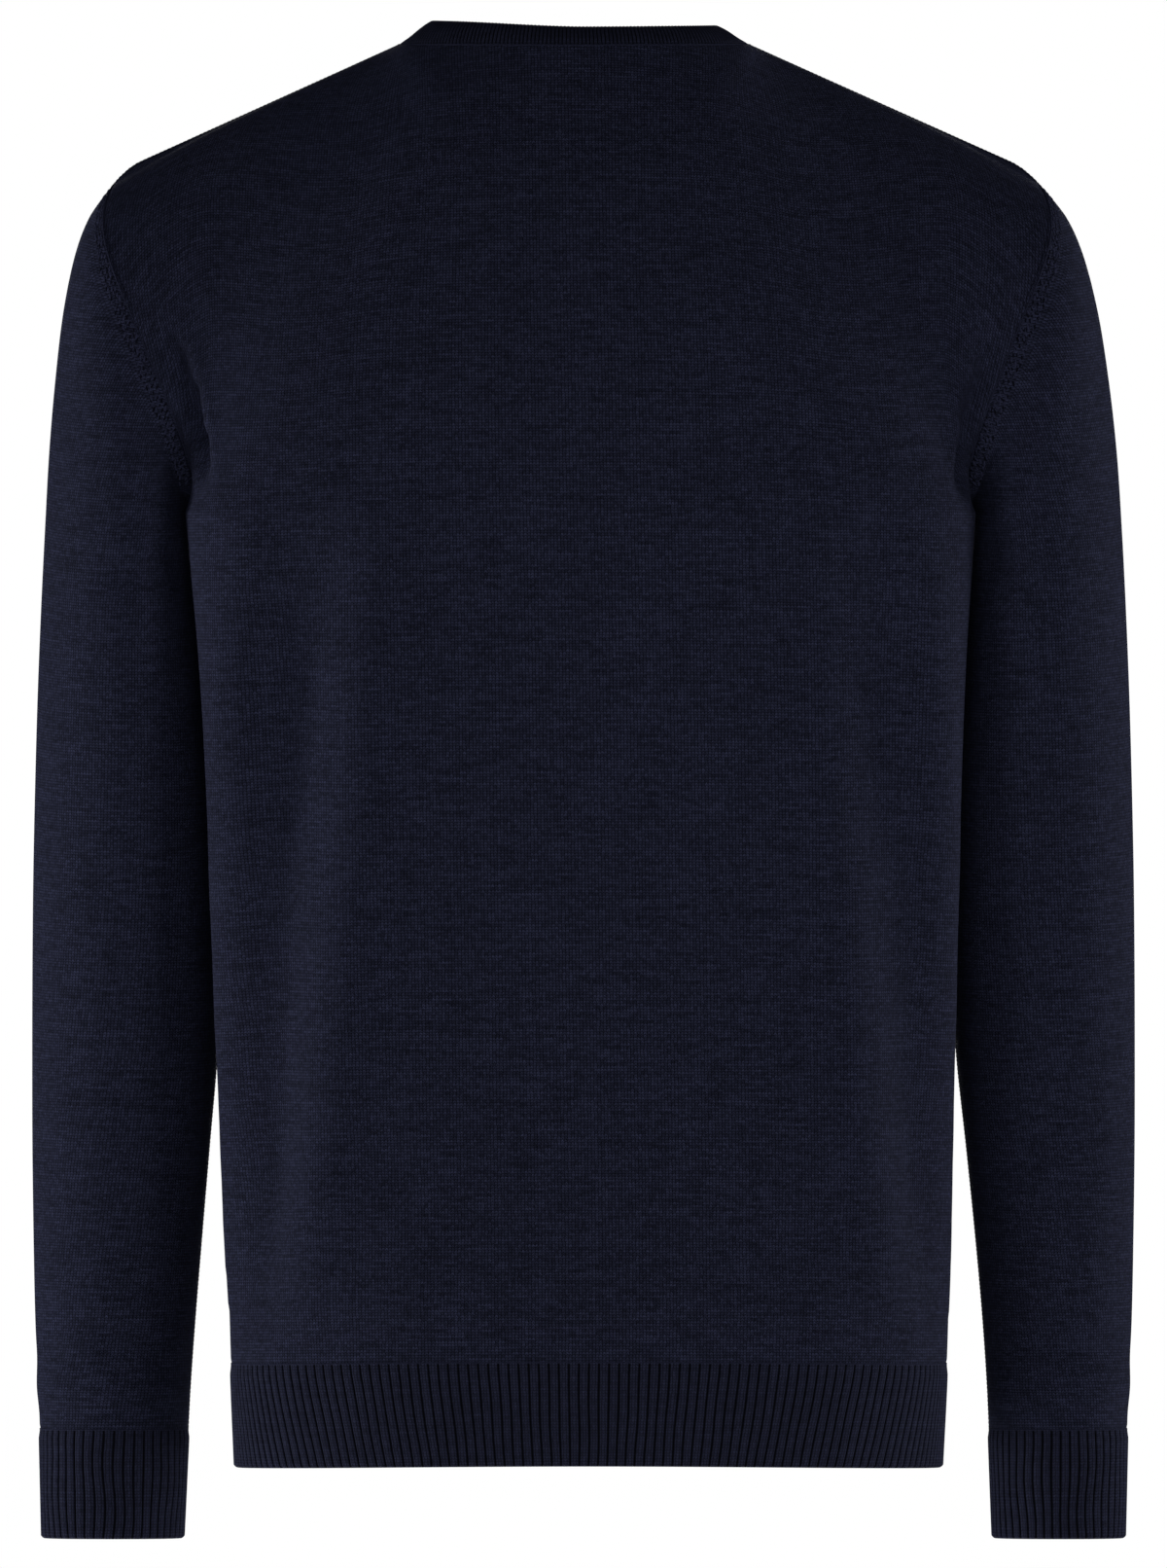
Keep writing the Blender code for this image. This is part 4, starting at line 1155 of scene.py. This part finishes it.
# Each seam's yarn lies on a row or a column of a surface, and may close on itself
for name, surface, place, closed in (
    ("left_armhole", "left", -1, True),
    ("right_armhole", "right", -1, True),
    ("left_shoulder", "back", (-1, slice(tip + 1)), False),
    ("right_shoulder", "back", (-1, slice(-tip - 1, None)), False),
    ("left_side", "back", (low_rows, 0), False),
    ("right_side", "back", (low_rows, -1), False),
    ("left_sleeve", "left", (slice(None), left_under), False),
    ("right_sleeve", "right", (slice(None), right_under), False),
    ("back_hem", "back", 0, False),
    ("front_hem", "front", 0, False),
    ("left_cuff", "left", 0, True),
    ("right_cuff", "right", 0, True),
):
    grid, normals = cloth[surface]
    chain(name + "_seam", grid[place], normals[place], CHAIN_RADIUS, closed)
chain("neckband_seam", band[0], band_normals[0], NECK_CHAIN_RADIUS, False)

# ================ fashioning marks
MARK_PITCH = 0.0034
MARK_ROWS = ((0.0022, 0.0), (0.0046, 0.5), (0.0072, 0.2))
MARK_REACH = (0.05, 0.82)
MARK_SEED = 5
SEEDS_APART = 100
MARK_SIZE = (0.00125, 0.00052, 0.00036)
# The pits are flat beads of painted shade in the holes between the marks
PIT_SHADE_SIZE = (0.00110, 0.00045, 0.00012)
MARK_SLANT = math.radians(38)
MARK_SLIPS = (0.0009, 0.0007, 0.6, 0.3)
MARK_RINGS = 5
MARK_SPOKES = 8
MARK_LIFT = 0.00010
PIT_SHADE_LIFT = 0.00003
BEAD_TIP = 0.06
DOWNWARD = 0.002


def sleeve_spot(grid, normals, column, distance):
    """A place on a sleeve, this far down its surface from the armhole."""
    low = int(math.floor(column))
    mix = column - low
    spots = []
    for index in (low % grid.shape[1], (low + 1) % grid.shape[1]):
        line = grid[::-1, index]
        travelled = travel(line)
        facing = taken(normals[::-1, index], travelled, distance)
        spots.append((taken(line, travelled, distance), facing))
    (a, normal_a), (b, normal_b) = spots
    normal = normal_a + (normal_b - normal_a) * mix
    return a + (b - a) * mix, normal / np.linalg.norm(normal)


def bead(centre, length_way, width_way, up, size):
    """A small flat ellipsoid of yarn as points, in rings from end to end."""
    turns = np.arange(MARK_SPOKES) * 2 * math.pi / MARK_SPOKES
    points = []
    for place in np.linspace(BEAD_TIP, math.pi - BEAD_TIP, MARK_RINGS):
        ring = centre - length_way * size[0] * math.cos(place)
        across = width_way[None] * (np.cos(turns) * size[1] * math.sin(place))[:, None]
        high = up[None] * (np.sin(turns) * size[2] * math.sin(place))[:, None]
        points.append(ring[None] + across + high)
    return np.array(points)


def fashioning_marks(name, grid, normals, material, size, shift, raise_by):
    """Rows of slanted stitches beside an armhole, on the back and the front of a sleeve; in a dark
    material, flat beads of painted shade for the holes between the stitches. Each is a little off
    its place, slant and size."""
    random = np.random.default_rng(MARK_SEED + int(SEEDS_APART * shift))
    ring = np.concatenate([grid[-1], grid[-1][:1]])
    travelled = travel(ring)
    top = travelled[int(np.argmax(grid[-1, :, 2]))]
    low = travelled[int(np.argmin(grid[-1, :, 2]))]
    total = travelled[-1]
    points, faces, uvs = [], [], []
    quads = grid_faces(MARK_RINGS, MARK_SPOKES, True)
    for way in (1, -1):
        run = (way * (low - top)) % total
        for distance, stagger in MARK_ROWS:
            count = int(run * (MARK_REACH[1] - MARK_REACH[0]) / MARK_PITCH)
            for index in range(count):
                slip = random.uniform(-1, 1, 4) * MARK_SLIPS
                arc = run * MARK_REACH[0] + (index + stagger + shift) * MARK_PITCH + slip[0]
                place = (top + way * arc) % total
                column = np.interp(place, travelled, np.arange(len(travelled)))
                at, up = sleeve_spot(grid, normals, column, distance + slip[1])
                below, _ = sleeve_spot(grid, normals, column, distance + slip[1] + DOWNWARD)
                down = (below - at) / np.linalg.norm(below - at)
                side = np.cross(up, down)
                slant = MARK_SLANT * way * (1 + slip[2])
                grown = np.array(size) * (1 + slip[3])
                length_way = down * math.cos(slant) + side * math.sin(slant)
                width_way = np.cross(up, length_way)
                faces.append(quads + len(points) * MARK_RINGS * MARK_SPOKES)
                points.append(bead(at + up * raise_by, length_way, width_way, up, grown).reshape(-1, 3))
                uvs.append(np.zeros((len(quads), 4, 2)))
    faces = np.concatenate(faces).tolist()
    new_piece(name, settled(np.concatenate(points)), faces, np.concatenate(uvs), material)


for name in ("left", "right"):
    grid, normals = cloth[name]
    fashioning_marks(name + "_sleeve_marks", grid, normals, MARK_YARN, MARK_SIZE, 0.0, MARK_LIFT)
    # Flat near-black beads between the marks: painted shade in the holes there
    fashioning_marks(name + "_sleeve_mark_pit_shade", grid, normals, PIT_SHADE_PAINT, PIT_SHADE_SIZE, 0.5, PIT_SHADE_LIFT)

# ================ floor, lights, camera
FLOOR_HEIGHT = -2.60
FLOOR_HALF_SIZE = 6.0
FLOOR_GREY = 0.60
FLOOR_ROUGHNESS = 0.9
WORLD_FILL = 0.05
WHITE = (1.0, 1.0, 1.0, 1.0)
LIGHT_TARGET = (0.0, 0.0, -0.36)
# Each light's name, place, width and height in metres, and power in watts
LIGHTS = (
    ("back_light", (0.0, 3.0, -0.36), 1.0, 1.6, 18.0),
    ("back_left_light", (1.485, 2.573, -0.778), 0.7, 1.6, 16.0),
    ("back_right_light", (-1.485, 2.573, -0.778), 0.7, 1.6, 26.0),
    ("left_light", (2.989, -0.261, -0.36), 0.7, 1.6, 30.0),
    ("left_low_light", (2.678, -0.472, -1.628), 0.7, 1.6, 58.0),
    ("right_light", (-2.898, -0.776, -0.36), 0.7, 1.6, 40.0),
    ("front_light", (0.0, -3.20, 0.25), 1.4, 1.6, 55.0),
    ("right_rim_light", (-2.719, -1.268, -0.36), 0.7, 1.6, 22.0),
)
CAMERA_PLACE = (0.0, 20.0, -0.3553)
CAMERA_LENS = 640.0
SENSOR_HEIGHT = 24.0


def aimed(place, target):
    """The turn that points a lamp or a camera from its place at a target."""
    return (Vector(target) - Vector(place)).to_track_quat("-Z", "Y").to_euler()


def add_floor():
    """A floor that looks white to the camera, and lights the object as a grey one."""
    mesh = bpy.data.meshes.new("floor")
    half = FLOOR_HALF_SIZE
    corners = [(-half, -half), (half, -half), (half, half), (-half, half)]
    mesh.from_pydata([(x, y, FLOOR_HEIGHT) for x, y in corners], [], [(0, 1, 2, 3)])
    material = bpy.data.materials.new("floor_paint")
    material.use_nodes = True
    nodes = Nodes(material.node_tree)
    shader = material.node_tree.nodes["Principled BSDF"]
    shader.inputs["Base Color"].default_value = (FLOOR_GREY, FLOOR_GREY, FLOOR_GREY, 1.0)
    shader.inputs["Roughness"].default_value = FLOOR_ROUGHNESS
    shader.inputs["Emission Color"].default_value = WHITE
    nodes.put(shader.inputs["Emission Strength"], nodes.add("LightPath").outputs["Is Camera Ray"])
    mesh.materials.append(material)
    put_in_scene("floor", mesh)


def add_world():
    """White behind the object for the camera, and a dim even fill all round it."""
    world = bpy.data.worlds.new("studio")
    world.use_nodes = True
    world.node_tree.nodes.clear()
    nodes = Nodes(world.node_tree)
    fill = nodes.add("Background", (WHITE, WORLD_FILL)).outputs[0]
    seen = nodes.add("Background", (WHITE, 1.0)).outputs[0]
    camera_ray = nodes.add("LightPath").outputs["Is Camera Ray"]
    mix = nodes.add("MixShader", (camera_ray, fill, seen))
    nodes.add("OutputWorld", (mix.outputs[0],))
    bpy.context.scene.world = world


def add_light(name, place, width, height, power):
    lamp = bpy.data.lights.new(name, "AREA")
    lamp.shape = "RECTANGLE"
    lamp.size = width
    lamp.size_y = height
    lamp.energy = power
    light = put_in_scene(name, lamp)
    light.location = place
    light.rotation_euler = aimed(place, LIGHT_TARGET)


def add_camera():
    """The photo's view: from behind and level, and far off, so that nothing looks nearer."""
    data = bpy.data.cameras.new("camera")
    data.sensor_fit = "VERTICAL"
    data.sensor_height = SENSOR_HEIGHT
    data.lens = CAMERA_LENS
    camera = put_in_scene("camera", data)
    camera.location = CAMERA_PLACE
    camera.rotation_euler = aimed(CAMERA_PLACE, (0.0, 0.0, CAMERA_PLACE[2]))
    bpy.context.scene.camera = camera


add_floor()
add_world()
for light in LIGHTS:
    add_light(*light)
add_camera()
bpy.context.scene.view_settings.view_transform = "Standard"

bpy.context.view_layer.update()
